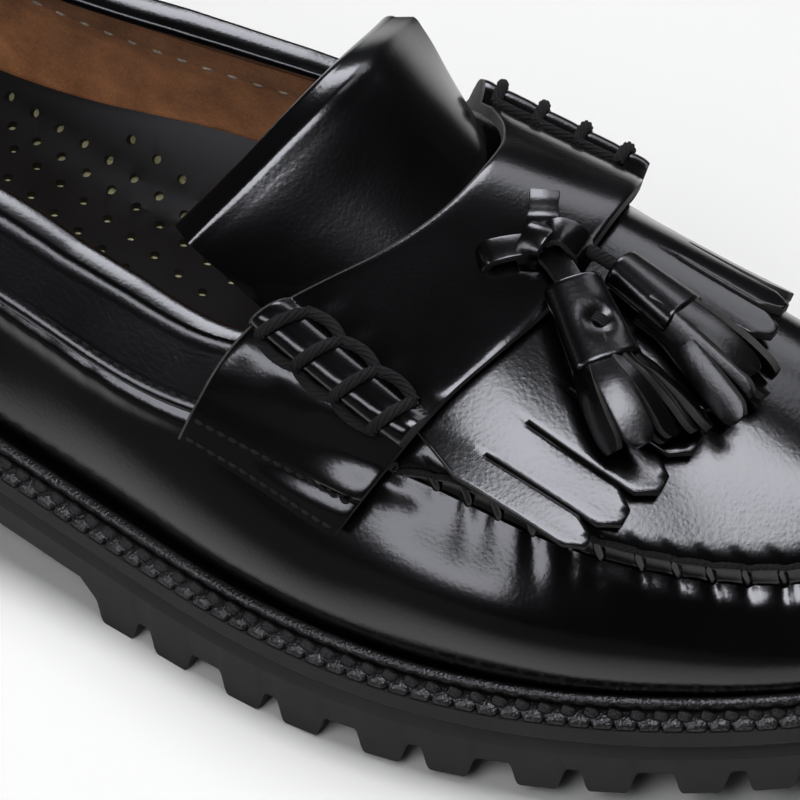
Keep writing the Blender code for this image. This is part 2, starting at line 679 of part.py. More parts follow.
def build_tassel(name, start, end, roll, under):
    """A rolled leather barrel on its cord, with the strips of its skirt fused side by side."""
    tree = surface_tree(*under)
    shares = np.array([row[0] for row in TASSEL_PROFILE])
    radii = np.array([row[1] for row in TASSEL_PROFILE])
    start = np.array([*start, drop(tree, *start)])
    end = np.array([*end, drop(tree, *end)])
    axis = (end - start) / np.linalg.norm(end - start)
    side = np.cross(axis, (0.0, 0.0, 1.0))
    side /= np.linalg.norm(side)
    up = np.cross(side, axis)
    roll = np.radians(roll)
    wide = np.cos(roll) * side + np.sin(roll) * up
    thin = np.cos(roll) * up - np.sin(roll) * side
    turns = np.linspace(0.0, 2.0 * np.pi, 3 * TASSEL_STRIPS + 1)
    net = []
    for turn in turns:
        groove = STRIP_GROOVE * (1.0 - abs(np.sin(0.5 * TASSEL_STRIPS * turn)))
        radius = radii * (1.0 - groove * ease(shares, SKIRT_START, SKIRT_FULL))
        rim = radius[:, None] * (np.cos(turn) * wide + TASSEL_FLATNESS * np.sin(turn) * thin)
        net.append(start + (end - start) * shares[:, None] + rim)
    net = np.stack(net, 1)
    sink = max(lying(tree, x, y) - z for x, y, z in net.reshape(-1, 3))
    net[..., 2] += sink
    return skin(name, net, "gloss_leather")


def main():
    """Builds the shoe from the floor up."""
    clear_scene()
    build_outsole()
    build_welt()
    upper = build_upper()
    build_insole()
    tongue = build_tongue()
    bpy.context.view_layer.update()
    kiltie = build_kiltie(upper)
    bpy.context.view_layer.update()
    strap = build_strap(upper, tongue, kiltie)
    bpy.context.view_layer.update()
    build_tie(strap)
    for name, start_x, start_y, end_x, end_y, roll in TASSELS:
        build_tassel(name, (start_x, start_y), (end_x, end_y), roll, (strap, kiltie, upper))


main()
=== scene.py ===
"""Right tassel loafer in glossy black leather on a lug sole, dressed for its picture.

Tables and shapes are in millimetres, meshes in metres. +X points to the toe, +Y to the inner side, +Z up.
"""

import logging
import math
from dataclasses import dataclass
from enum import Enum
from typing import Callable, Iterable, Sequence

import bmesh
import bpy
import numpy as np
from mathutils import Matrix, Vector, noise
from mathutils.bvhtree import BVHTree


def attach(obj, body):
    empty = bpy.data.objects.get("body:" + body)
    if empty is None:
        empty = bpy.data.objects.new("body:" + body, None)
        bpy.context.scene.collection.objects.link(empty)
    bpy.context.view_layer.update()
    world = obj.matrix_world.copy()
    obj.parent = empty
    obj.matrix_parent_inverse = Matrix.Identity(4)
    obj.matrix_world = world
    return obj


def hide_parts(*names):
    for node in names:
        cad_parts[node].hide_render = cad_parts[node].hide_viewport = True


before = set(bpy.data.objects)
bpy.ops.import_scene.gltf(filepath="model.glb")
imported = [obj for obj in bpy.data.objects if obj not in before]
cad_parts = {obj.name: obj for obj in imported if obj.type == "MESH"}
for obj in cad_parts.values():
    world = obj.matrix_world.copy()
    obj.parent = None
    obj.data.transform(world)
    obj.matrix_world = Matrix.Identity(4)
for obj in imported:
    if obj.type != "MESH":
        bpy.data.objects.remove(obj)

LOG = logging.getLogger("loafer")
MM = 0.001
WELD = 1e-7
UP = np.array([0.0, 0.0, 1.0])
Net = np.ndarray
Piece = bpy.types.Object
Socket = bpy.types.NodeSocket
Node = bpy.types.Node
Values = tuple[float, ...]
Pair = tuple[float, float]
Triple = tuple[float, float, float]
Rows = tuple[Values, ...]


class Slot(Enum):
    """Material slots of the part."""

    RUBBER = "rubber"
    GLOSS = "gloss_leather"
    WELT = "welt_leather"
    INSOLE = "insole_leather"


class Side(Enum):
    """Side of the shoe, as the sign of its Y."""

    OUTER = -1
    INNER = 1


# station, feather x y, seam x y z, rim x y z, bulge of the wall, crown of what lies above the seam
STATIONS = (
    ("heel_back", -138, 0.0, -139.5, 0.0, 55.0, -132.0, 0.0, 83.0, 2.5, 0.0),
    ("heel_back_outer", -129.5, -20.0, -131.0, -19.5, 54.5, -125.5, -15.0, 81.5, 2.5, 0.0),
    ("heel_outer", -107, -30.3, -108.0, -29.8, 52.5, -105.5, -23.0, 75.0, 2.5, 0.0),
    ("waist_rear_outer", -68, -33.3, -69.0, -30.8, 50.5, -70.0, -24.5, 66.5, 2.0, 0.0),
    ("waist_outer", -28, -37.0, -29.0, -33.0, 48.8, -31.0, -26.0, 63.5, 2.0, 0.0),
    ("strap_outer", 4, -41.0, 6.0, -38.3, 46.8, 4.0, -30.5, 62.0, 3.4, 0.05),
    ("ball_outer", 38, -44.8, 42.0, -37.0, 50.0, 22.0, -29.0, 64.0, 6.0, 0.2),
    ("fore_outer", 73, -39.7, 74.0, -35.0, 46.5, 33.0, -19.0, 69.0, 6.4, 0.3),
    ("toe_side_outer", 105, -25.5, 101.5, -22.0, 41.0, 37.0, -8.0, 72.0, 6.0, 0.3),
    ("toe_corner_outer", 127, -8.5, 118.0, -7.5, 42.3, 38.3, -1.0, 73.0, 6.0, 0.35),
    ("toe_tip", 137, 9.0, 124.5, 8.0, 42.8, 38.6, 4.0, 73.2, 5.8, 0.35),
    ("toe_corner_inner", 129, 25.5, 118.0, 21.5, 42.0, 38.0, 9.5, 72.3, 5.4, 0.35),
    ("toe_side_inner", 106, 37.5, 100.0, 28.0, 39.6, 36.0, 15.5, 70.0, 5.4, 0.2),
    ("ball_inner", 70, 43.5, 72.0, 30.5, 42.0, 32.0, 22.0, 66.2, 5.6, 0.15),
    ("fore_inner", 34, 41.3, 40.0, 33.0, 46.3, 23.0, 28.0, 63.0, 4.4, 0.1),
    ("strap_inner", 2, 34.7, 4.0, 32.8, 48.0, 3.0, 28.3, 62.8, 3.0, 0.05),
    ("waist_inner", -32, 29.2, -31.0, 29.3, 49.3, -32.0, 25.0, 63.3, 2.6, 0.0),
    ("waist_rear_inner", -68, 29.7, -69.0, 29.2, 50.8, -70.0, 23.6, 66.6, 2.2, 0.0),
    ("heel_inner", -107, 29.8, -108.0, 29.3, 53.0, -105.5, 22.5, 75.5, 2.5, 0.0),
    ("heel_back_inner", -129.5, 20.0, -131.0, 19.5, 54.5, -125.5, 14.5, 81.5, 2.5, 0.0),
)
ROUND = len(STATIONS)
TOE = ROUND // 2


# Curves and nets
def unit(vectors: Net) -> Net:
    """The vectors at length 1."""
    return vectors / np.linalg.norm(vectors, axis=-1, keepdims=True)


def ease(value: Net | float, start: float, end: float) -> Net:
    """Smooth step.

    Args:
        value: Where it is read.
        start: Where it leaves 0.
        end: Where it reaches 1.

    Returns:
        0 before start, 1 after end and smooth between.
    """
    share = np.clip((np.asarray(value, float) - start) / (end - start), 0.0, 1.0)
    return share * share * (3.0 - 2.0 * share)


def closed_spline(rows: Sequence[Sequence[float]]) -> Callable[[Net | float], Net]:
    """Smooth closed curve through evenly numbered rows.

    Args:
        rows: Values at 0, 1, 2 and so on.

    Returns:
        A function of the row number.
    """
    values = np.asarray(rows, float)
    count = len(values)
    system = 4.0 * np.eye(count) + np.roll(np.eye(count), 1, axis=0) + np.roll(np.eye(count), -1, axis=0)
    bend = np.linalg.solve(system, 6.0 * (np.roll(values, -1, 0) - 2.0 * values + np.roll(values, 1, 0)))

    def at(number: Net | float) -> Net:
        """The curve's values at this row number."""
        number = np.asarray(number, float) % count
        first = np.floor(number).astype(int) % count
        after = (first + 1) % count
        share = (number - np.floor(number))[..., None]
        rest = 1.0 - share
        straight = rest * values[first] + share * values[after]
        return straight + ((rest**3 - rest) * bend[first] + (share**3 - share) * bend[after]) / 6.0

    return at


def smooth_curve(places: Sequence[float], values: Sequence, at: Net | float) -> Net:
    """Smooth open curve through a few places.

    Args:
        places: Rising places.
        values: A number or a row of numbers at each place.
        at: Where the curve is read.

    Returns:
        The values there.
    """
    places, values = np.asarray(places, float), np.asarray(values, float)
    slope = np.gradient(values, places, axis=0)
    at = np.clip(np.asarray(at, float), places[0], places[-1])
    first = np.clip(np.searchsorted(places, at, side="right") - 1, 0, len(places) - 2)
    span = places[first + 1] - places[first]
    share = (at - places[first]) / span
    if values.ndim > 1:
        share, span = share[..., None], span[..., None]
    bow = 3 * share**2 - 2 * share**3
    leave, arrive = share * (1 - share) ** 2, share**2 * (share - 1)
    ends = (1 - bow) * values[first] + bow * values[first + 1]
    return ends + span * (leave * slope[first] + arrive * slope[first + 1])


def travelled(points: Net) -> Net:
    """Distance along a line up to each of its points."""
    return np.concatenate([[0.0], np.cumsum(np.linalg.norm(np.diff(points, axis=0), axis=1))])


def hump(place: Net, height: float, middle: Net | float, width: float) -> Net:
    """A soft bump of this height round a middle; it has mostly faded at its width."""
    return height * np.exp(-(((place - middle) / width) ** 2))


def closed(section: Sequence[Net]) -> Net:
    """Net whose columns go once round and come back to the first."""
    return np.stack([*section, section[0]], 1)


def even_line(points: Net, step: float) -> Net:
    """A smooth line through a few points.

    Args:
        points: Points that it passes, a row each.
        step: Distance between the new points.

    Returns:
        Evenly spaced points along it.
    """
    points = np.asarray(points, float)
    fine = smooth_curve(np.arange(len(points)), points, np.linspace(0, len(points) - 1, 40 * len(points)))
    length = travelled(fine)
    at = np.linspace(0.0, length[-1], max(3, int(round(length[-1] / step)) + 1))
    return np.stack([np.interp(at, length, fine[:, axis]) for axis in range(3)], 1)


def unevenness(points: Net, size: float, seed: float) -> Net:
    """Soft hand-made unevenness between -1 and 1.

    Args:
        points: Places, in millimetres.
        size: Width of one swell.
        seed: Shifts the pattern.

    Returns:
        A number for each place.
    """
    flat = points.reshape(-1, 3) / size + seed
    return np.array([noise.noise(Vector(place)) for place in flat]).reshape(points.shape[:-1])


def add_net(bm: bmesh.types.BMesh, net: Net, material: int = 0, bands: dict[int, int] | None = None) -> None:
    """Adds a grid whose points take their places from a net; seams are welded and open ends filled.

    Args:
        bm: Mesh that it joins.
        net: Rows of points.
        material: Material number of its faces.
        bands: Material numbers of single columns of faces.
    """
    rows, columns = net.shape[:2]
    verts = bmesh.ops.create_grid(bm, x_segments=rows - 1, y_segments=columns - 1, size=0.5)["verts"]
    for face in {face for vert in verts for face in vert.link_faces}:
        column = int((face.calc_center_median().y + 0.5) * (columns - 1))
        face.material_index = (bands or {}).get(column, material)
    for vert in verts:
        row = round((vert.co.x + 0.5) * (rows - 1))
        column = round((vert.co.y + 0.5) * (columns - 1))
        vert.co = Vector(net[row, column]) * MM
    bmesh.ops.remove_doubles(bm, verts=verts, dist=WELD)
    edges = {edge for vert in verts if vert.is_valid for edge in vert.link_edges}
    caps = bmesh.ops.holes_fill(bm, edges=[edge for edge in edges if edge.is_boundary])["faces"]
    for face in caps:
        face.material_index = material


def tube(line: Net, up: Net, half_width: Net | float, half_height: Net | float, sides: int, power: float = 2.0) -> Net:
    """Net of a closed tube along a line.

    Args:
        line: Points of its middle.
        up: Direction of its height at each point.
        half_width: Half its width at each point.
        half_height: Half its height at each point.
        sides: Points round it.
        power: 2 for a round section, more for a squarer one.

    Returns:
        Rows of points, the last column equal to the first.
    """
    ahead = unit(np.gradient(line, axis=0))
    side = unit(np.cross(ahead, up))
    up = np.cross(side, ahead)
    wide = np.broadcast_to(np.asarray(half_width, float), len(line))[:, None]
    high = np.broadcast_to(np.asarray(half_height, float), len(line))[:, None]
    columns = []
    for turn in np.linspace(0.0, 2.0 * np.pi, sides + 1):
        cos, sin = math.cos(turn), math.sin(turn)
        cos, sin = (math.copysign(abs(value) ** (2.0 / power), value) for value in (cos, sin))
        columns.append(line + cos * wide * side + sin * high * up)
    columns[-1] = columns[0]
    return np.stack(columns, 1)


def bead_share(count: int) -> Net:
    """Width along a stitch or thread whose ends are rounded, as shares of its full width."""
    place = np.linspace(-1.0, 1.0, count)
    return np.sqrt(np.clip(1.04 - place**4, 0.0, None))


def twisted(line: Net, up: Net, radius: float, pitch: float, strands: int = 3, sides: int = 6) -> list[Net]:
    """Nets of the strands of a twisted thread.

    Args:
        line: Points of its middle.
        up: A direction square to it at each point.
        radius: Half its thickness.
        pitch: Length of one turn.
        strands: Strands in it.
        sides: Points round each strand.

    Returns:
        One net for each strand.
    """
    ahead = unit(np.gradient(line, axis=0))
    side = unit(np.cross(ahead, up))
    above = np.cross(side, ahead)
    length = travelled(line)
    strand_radius = radius / (1.0 + 1.0 / math.sin(math.pi / strands)) * 1.18
    nets = []
    for strand in range(strands):
        turn = (2.0 * np.pi * (length / pitch + strand / strands))[:, None]
        offset = np.cos(turn) * side + np.sin(turn) * above
        nets.append(tube(line + (radius - strand_radius) * offset, offset, strand_radius, strand_radius, sides))
    return nets


# Finishes
class NodeBuilder:
    """Adds and links shader nodes in one tree."""

    def __init__(self, tree: bpy.types.NodeTree) -> None:
        """Keeps the tree."""
        self.tree = tree

    def add(self, kind: str, links: dict | None = None, **values) -> Node:
        """Adds a node.

        Args:
            kind: Node type.
            links: Input name or number to the output socket that feeds it, or to its value.
            values: Properties of the node.

        Returns:
            The node.
        """
        node = self.tree.nodes.new(kind)
        for key, value in values.items():
            setattr(node, key, value)
        self.feed(node, links or {})
        return node

    def feed(self, node: Node, links: dict) -> None:
        """Links sockets to the inputs of a node, or sets their values.

        Args:
            node: The node.
            links: Input name or number to the output socket that feeds it, or to its value.
        """
        for key, value in links.items():
            if isinstance(value, Socket):
                self.tree.links.new(value, node.inputs[key])
            else:
                node.inputs[key].default_value = value

    def ramp(self, value: Socket, low: float, high: float, dark: Triple, light: Triple) -> Socket:
        """Colour that turns from dark to light between two values.

        Args:
            value: What it follows.
            low: Value where it is dark.
            high: Value where it is light.
            dark: First colour.
            light: Last colour.

        Returns:
            The colour socket.
        """
        node = self.add("ShaderNodeValToRGB", {0: value})
        first, last = node.color_ramp.elements
        first.position, last.position = low, high
        first.color, last.color = (*dark, 1.0), (*light, 1.0)
        return node.outputs["Color"]

    def spread(self, value: Socket, low: float, high: float) -> Socket:
        """A value from 0 to 1 spread between two numbers."""
        links = {"Value": value, "To Min": low, "To Max": high}
        return self.add("ShaderNodeMapRange", links).outputs["Result"]


def node_group(name: str, inputs: dict[str, float], outputs: Sequence[str]) -> tuple[bpy.types.NodeTree, NodeBuilder]:
    """A new shader node group with value sockets.

    Args:
        name: Its name.
        inputs: Input names and defaults.
        outputs: Output names.

    Returns:
        The group and a builder for it.
    """
    group = bpy.data.node_groups.new(name, "ShaderNodeTree")
    for label, default in inputs.items():
        socket = group.interface.new_socket(label, in_out="INPUT", socket_type="NodeSocketFloat")
        socket.default_value = default
    for label in outputs:
        group.interface.new_socket(label, in_out="OUTPUT", socket_type="NodeSocketFloat")
    return group, NodeBuilder(group)


def hide_grain_group() -> bpy.types.NodeTree:
    """Grain of hide: fine pores on soft pebbles, and a slow cloud for uneven polish; built once."""
    if "hide_grain" in bpy.data.node_groups:
        return bpy.data.node_groups["hide_grain"]
    group, nodes = node_group("hide_grain", {"Pebbles per m": 1400.0, "Pore Share": 0.5}, ("Height", "Polish"))
    given = nodes.add("NodeGroupInput").outputs
    place = nodes.add("ShaderNodeTexCoord").outputs["Object"]
    warp = nodes.add("ShaderNodeTexNoise", {"Vector": place, "Scale": 900.0, "Detail": 2.0}).outputs["Color"]
    shift = nodes.add("ShaderNodeVectorMath", {0: warp, 1: (0.0007,) * 3}, operation="MULTIPLY").outputs["Vector"]
    bent = nodes.add("ShaderNodeVectorMath", {0: place, 1: shift}, operation="ADD").outputs["Vector"]
    links = {"Vector": bent, "Scale": given["Pebbles per m"]}
    pebbles = nodes.add("ShaderNodeTexVoronoi", links, feature="SMOOTH_F1").outputs["Distance"]
    pores = nodes.add("ShaderNodeTexNoise", {"Vector": place, "Scale": 3200.0, "Detail": 3.0}).outputs["Fac"]
    rest = nodes.add("ShaderNodeMath", {0: 1.0, 1: pebbles}, operation="SUBTRACT").outputs["Value"]
    deep = nodes.add("ShaderNodeMath", {0: pores, 1: given["Pore Share"]}, operation="MULTIPLY").outputs["Value"]
    height = nodes.add("ShaderNodeMath", {0: rest, 1: deep}, operation="ADD").outputs["Value"]
    polish = nodes.add("ShaderNodeTexNoise", {"Vector": place, "Scale": 60.0, "Detail": 4.0}).outputs["Fac"]
    nodes.add("NodeGroupOutput", {"Height": height, "Polish": polish})
    return group


def fibre_group() -> bpy.types.NodeTree:
    """Short fibres and specks of cut hide, suede, thread and rubber; built once."""
    if "fibres" in bpy.data.node_groups:
        return bpy.data.node_groups["fibres"]
    group, nodes = node_group("fibres", {"Fibres per m": 1800.0}, ("Height", "Tone"))
    given = nodes.add("NodeGroupInput").outputs
    place = nodes.add("ShaderNodeTexCoord").outputs["Object"]
    links = {"Vector": place, "Scale": given["Fibres per m"], "Detail": 5.0, "Roughness": 0.7, "Distortion": 1.2}
    fine = nodes.add("ShaderNodeTexNoise", links).outputs["Fac"]
    cloud = nodes.add("ShaderNodeTexNoise", {"Vector": place, "Scale": 140.0, "Detail": 3.0}).outputs["Fac"]
    tone = nodes.add("ShaderNodeMath", {0: fine, 1: cloud}, operation="ADD").outputs["Value"]
    half = nodes.add("ShaderNodeMath", {0: tone, 1: 0.5}, operation="MULTIPLY").outputs["Value"]
    nodes.add("NodeGroupOutput", {"Height": fine, "Tone": half})
    return group


@dataclass(frozen=True)
class Finish:
    """What a piece is made of.

    Attributes:
        name: Material name.
    """

    name: str

    def material(self) -> bpy.types.Material:
        """The material, made once."""
        if self.name not in bpy.data.materials:
            material = bpy.data.materials.new(self.name)
            material.use_nodes = True
            self.shade(NodeBuilder(material.node_tree), material.node_tree.nodes["Principled BSDF"])
        return bpy.data.materials[self.name]

    def shade(self, nodes: NodeBuilder, shader: Node) -> None:
        """Feeds the shader; each kind of finish has its own way."""
        raise NotImplementedError


@dataclass(frozen=True)
class Grained(Finish):
    """Anything with a grain.

    Attributes:
        dark: Colour in the deep places.
        light: Colour where it is raised or the dye is thinner.
        matt: Least and most roughness.
        density: Pebbles or fibres of the grain to a metre.
        depth: Depth of the grain in metres.
    """

    dark: Triple
    light: Triple
    matt: Pair
    density: float
    depth: float

    def cover(self, nodes: NodeBuilder, shader: Node, tree: bpy.types.NodeTree, low: float, high: float) -> None:
        """Feeds the shader from a grain.

        Args:
            nodes: Builder of the material's nodes.
            shader: Its shader.
            tree: Node group of the grain.
            low: Tone of the grain where the colour is dark.
            high: Tone where it is light.
        """
        grain = nodes.add("ShaderNodeGroup", node_tree=tree)
        nodes.feed(grain, {0: self.density})
        height, tone = grain.outputs[0], grain.outputs[1]
        links = {"Height": height, "Distance": self.depth, "Strength": 1.0}
        bump = nodes.add("ShaderNodeBump", links).outputs["Normal"]
        colour = nodes.ramp(tone, low, high, self.dark, self.light)
        rough = nodes.spread(tone, *self.matt)
        nodes.feed(shader, {"Base Color": colour, "Roughness": rough, "Normal": bump})


@dataclass(frozen=True)
class Hide(Grained):
    """Dyed and polished leather.

    Attributes:
        shine: Strength of its mirror image.
    """

    shine: float = 0.5

    def shade(self, nodes: NodeBuilder, shader: Node) -> None:
        """Feeds the shader."""
        nodes.feed(shader, {"Specular IOR Level": self.shine})
        self.cover(nodes, shader, hide_grain_group(), 0.3, 0.75)


@dataclass(frozen=True)
class Fibrous(Grained):
    """Matt fibrous or grainy stuff: cut leather edges, suede, thread, foam and rubber.

    Attributes:
        sheen: Soft glow of raised fibres.
        shine: Strength of its mirror image.
    """

    sheen: float = 0.0
    shine: float = 0.3

    def shade(self, nodes: NodeBuilder, shader: Node) -> None:
        """Feeds the shader."""
        nodes.feed(shader, {"Sheen Weight": self.sheen, "Specular IOR Level": self.shine})
        self.cover(nodes, shader, fibre_group(), 0.35, 0.65)


@dataclass(frozen=True)
class Paper(Finish):
    """Pale studio paper, which polished leather mirrors only close to the shoe on its outer side.

    Attributes:
        colour: Its colour.
        mirrored: Distances from the shoe's middle line between which its mirror image fades, in metres.
        rest: Share of its brightness that is still mirrored far away.
        matt: Its roughness.
    """

    colour: Triple
    mirrored: Pair
    rest: float
    matt: float = 0.85

    def shade(self, nodes: NodeBuilder, shader: Node) -> None:
        """Feeds the shader."""
        nodes.feed(shader, {"Roughness": self.matt})
        place = nodes.add("ShaderNodeTexCoord").outputs["Object"]
        across = nodes.add("ShaderNodeSeparateXYZ", {"Vector": place}).outputs["Y"]
        away = nodes.add("ShaderNodeMath", {0: across, 1: -1.0}, operation="MULTIPLY").outputs["Value"]
        near, far = self.mirrored
        links = {"Value": away, "From Min": near, "From Max": far, "To Min": 0.0, "To Max": self.rest - 1.0}
        loss = nodes.add("ShaderNodeMapRange", links, interpolation_type="SMOOTHSTEP").outputs["Result"]
        mirror = nodes.add("ShaderNodeLightPath").outputs["Is Glossy Ray"]
        keep = nodes.add("ShaderNodeMath", {0: mirror, 1: loss, 2: 1.0}, operation="MULTIPLY_ADD").outputs["Value"]
        tint = nodes.add("ShaderNodeVectorMath", {0: self.colour, "Scale": keep}, operation="SCALE").outputs["Vector"]
        nodes.feed(shader, {"Base Color": tint})


GLOSS_LEATHER = Hide(
    "polished_leather", (0.0006, 0.0006, 0.0007), (0.0018, 0.0018, 0.0021), (0.15, 0.22), 1500.0, 0.000014
)
TASSEL_LEATHER = Hide(
    "tassel_leather", (0.0006, 0.0006, 0.0007), (0.002, 0.0019, 0.0019), (0.2, 0.28), 1500.0, 0.000016
)
WELT_LEATHER = Hide("storm_welt_leather", (0.003, 0.003, 0.003), (0.012, 0.012, 0.012), (0.26, 0.42), 2300.0, 0.00014)
INSOLE_LEATHER = Hide(
    "footbed_leather", (0.0035, 0.0034, 0.0036), (0.007, 0.0068, 0.0072), (0.42, 0.52), 1500.0, 0.00001, 0.3
)
CUT_EDGE = Fibrous("cut_edge", (0.004, 0.0037, 0.0035), (0.04, 0.037, 0.034), (0.55, 0.8), 2400.0, 0.00012)
PARED_EDGE = Fibrous("pared_edge", (0.008, 0.008, 0.008), (0.075, 0.072, 0.07), (0.5, 0.75), 2600.0, 0.00012)
RUBBER = Fibrous("sole_rubber", (0.0095, 0.0086, 0.0081), (0.0185, 0.0168, 0.0158), (0.6, 0.8), 2600.0, 0.00004)
SUEDE = Fibrous("suede", (0.36, 0.14, 0.055), (0.85, 0.36, 0.15), (0.9, 1.0), 2200.0, 0.0003, 0.04)
# Darker suede colour for the lining's upper band, just under the rolled topline
TOP_BAND_SUEDE = Fibrous("top_band_suede", (0.22, 0.09, 0.038), (0.62, 0.265, 0.115), (0.9, 1.0), 1900.0, 0.0003, 0.04)
WAXED_THREAD = Fibrous("waxed_thread", (0.003, 0.003, 0.003), (0.01, 0.01, 0.01), (0.2, 0.38), 2600.0, 0.0002)
THREAD = Fibrous("black_thread", (0.002, 0.002, 0.002), (0.011, 0.011, 0.011), (0.65, 0.85), 3800.0, 0.0003)
PALE_THREAD = Fibrous("pale_thread", (0.32, 0.26, 0.2), (0.62, 0.55, 0.46), (0.6, 0.8), 3800.0, 0.0002)
FOAM = Fibrous("foam", (0.2, 0.19, 0.09), (0.5, 0.47, 0.28), (0.85, 1.0), 1600.0, 0.0004)
FLOOR_PAPER = Paper("floor_paper", (0.8, 0.8, 0.8), (0.055, 0.115), 0.06)


def place_piece(
    name: str,
    bm: bmesh.types.BMesh,
    finishes: Finish | Sequence[Finish],
    replaces: Sequence[str] = (),
    sharp: float = 40.0,
    recalc: bool = True,
) -> Piece:
    """Makes a bmesh a finished piece that rides on the shoe.

    Args:
        name: Piece name.
        bm: Its mesh, freed here.
        finishes: Its finish, or the finish of each material number.
        replaces: Solids that it stands for.
        sharp: Edges bent more than this many degrees stay sharp.
        recalc: Whether its faces are turned outwards here.

    Returns:
        The object.
    """
    if recalc:
        bmesh.ops.recalc_face_normals(bm, faces=bm.faces)
    mesh = bpy.data.meshes.new(name)
    bm.to_mesh(mesh)
    bm.free()
    for finish in finishes if isinstance(finishes, (tuple, list)) else (finishes,):
        mesh.materials.append(finish.material())
    mesh.shade_smooth()
    mesh.set_sharp_from_angle(angle=math.radians(sharp))
    obj = bpy.data.objects.new(name, mesh)
    bpy.context.scene.collection.objects.link(obj)
    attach(obj, "root")
    if replaces:
        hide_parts(*replaces)
    LOG.info("%s: %d faces", name, len(mesh.polygons))
    return obj


def net_piece(
    name: str,
    nets: Iterable[Net],
    finishes: Finish | Sequence[Finish],
    replaces: Sequence[str] = (),
    sharp: float = 40.0,
    bands: dict[int, int] | None = None,
) -> Piece:
    """A finished piece made of nets.

    Args:
        name: Piece name.
        nets: Its nets.
        finishes: Its finish, or the finish of each material number.
        replaces: Solids that it stands for.
        sharp: Edges bent more than this many degrees stay sharp.
        bands: Material numbers of single columns of faces.

    Returns:
        The object.
    """
    bm = bmesh.new()
    for net in nets:
        add_net(bm, net, bands=bands)
    return place_piece(name, bm, finishes, replaces, sharp)


def soften_edges(obj: Piece, width: float, angle: float) -> None:
    """Rounds the edges of a piece.

    Args:
        obj: The piece.
        width: How wide the rounding is, in millimetres.
        angle: Edges bent more than this many degrees are rounded.
    """
    soften = obj.modifiers.new("soft_edges", "BEVEL")
    soften.width, soften.segments, soften.limit_method = width * MM, 2, "ANGLE"
    soften.angle_limit = math.radians(angle)


class Ground:
    """Surfaces that softer pieces are laid on."""

    axis_y: float = 2.0
    axis_z: float = 40.0
    far: float = 150.0
    search: float = 1.5

    def __init__(self, objects: Iterable[Piece]) -> None:
        """Joins the objects' finished surfaces in one tree."""
        bpy.context.view_layer.update()
        graph = bpy.context.evaluated_depsgraph_get()
        bm = bmesh.new()
        for obj in objects:
            bm.from_object(obj, graph)
        self.tree = BVHTree.FromBMesh(bm)
        bm.free()

    def reach(self, x: float, angle: float, spread: float | None = None) -> float:
        """Distance from the strap's axis to the outermost surface.

        Args:
            x: Place along the shoe.
            angle: Degrees from upright about the axis.
            spread: How far round this x the surface is searched.

        Returns:
            The distance in millimetres.
        """
        direction = Vector((0.0, math.sin(math.radians(angle)), math.cos(math.radians(angle))))
        spread = self.search if spread is None else spread
        hits: list[float] = []
        while not hits:
            for step in {-spread, 0.0, spread}:
                start = Vector((x + step, self.axis_y, self.axis_z)) + direction * self.far
                distance = self.tree.ray_cast(start * MM, -direction)[3]
                if distance is not None:
                    hits.append(self.far - distance / MM)
            spread += self.search
        return max(hits)

    def spoke(self, x: float, angle: float, distance: float) -> Net:
        """The point at this distance from the strap's axis."""
        turn = math.radians(angle)
        return np.array([x, self.axis_y + distance * math.sin(turn), self.axis_z + distance * math.cos(turn)])

    def on_strap(self, x: float, angle: float, lift: float) -> Net:
        """The point this far over the surface at a place given by x and angle."""
        return self.spoke(x, angle, self.reach(x, angle, 0.0) + lift)

    def drop(self, x: float, y: float) -> float:
        """Height of the topmost surface under this point."""
        hit = self.tree.ray_cast(Vector((x, y, self.far)) * MM, Vector((0.0, 0.0, -1.0)))[0]
        return hit.z / MM if hit else 0.0

    def lying(self, x: float, y: float) -> float:
        """Height of a soft piece that bridges the hollows round this place."""
        around = (-self.search, 0.0, self.search)
        near = [self.drop(x + step_x, y + step_y) for step_x in around for step_y in around]
        return 0.5 * (max(near) + self.drop(x, y))

    def normal(self, point: Net) -> Net:
        """Outward normal of the surface nearest to a point."""
        return np.array(self.tree.find_nearest(Vector(point) * MM)[1])


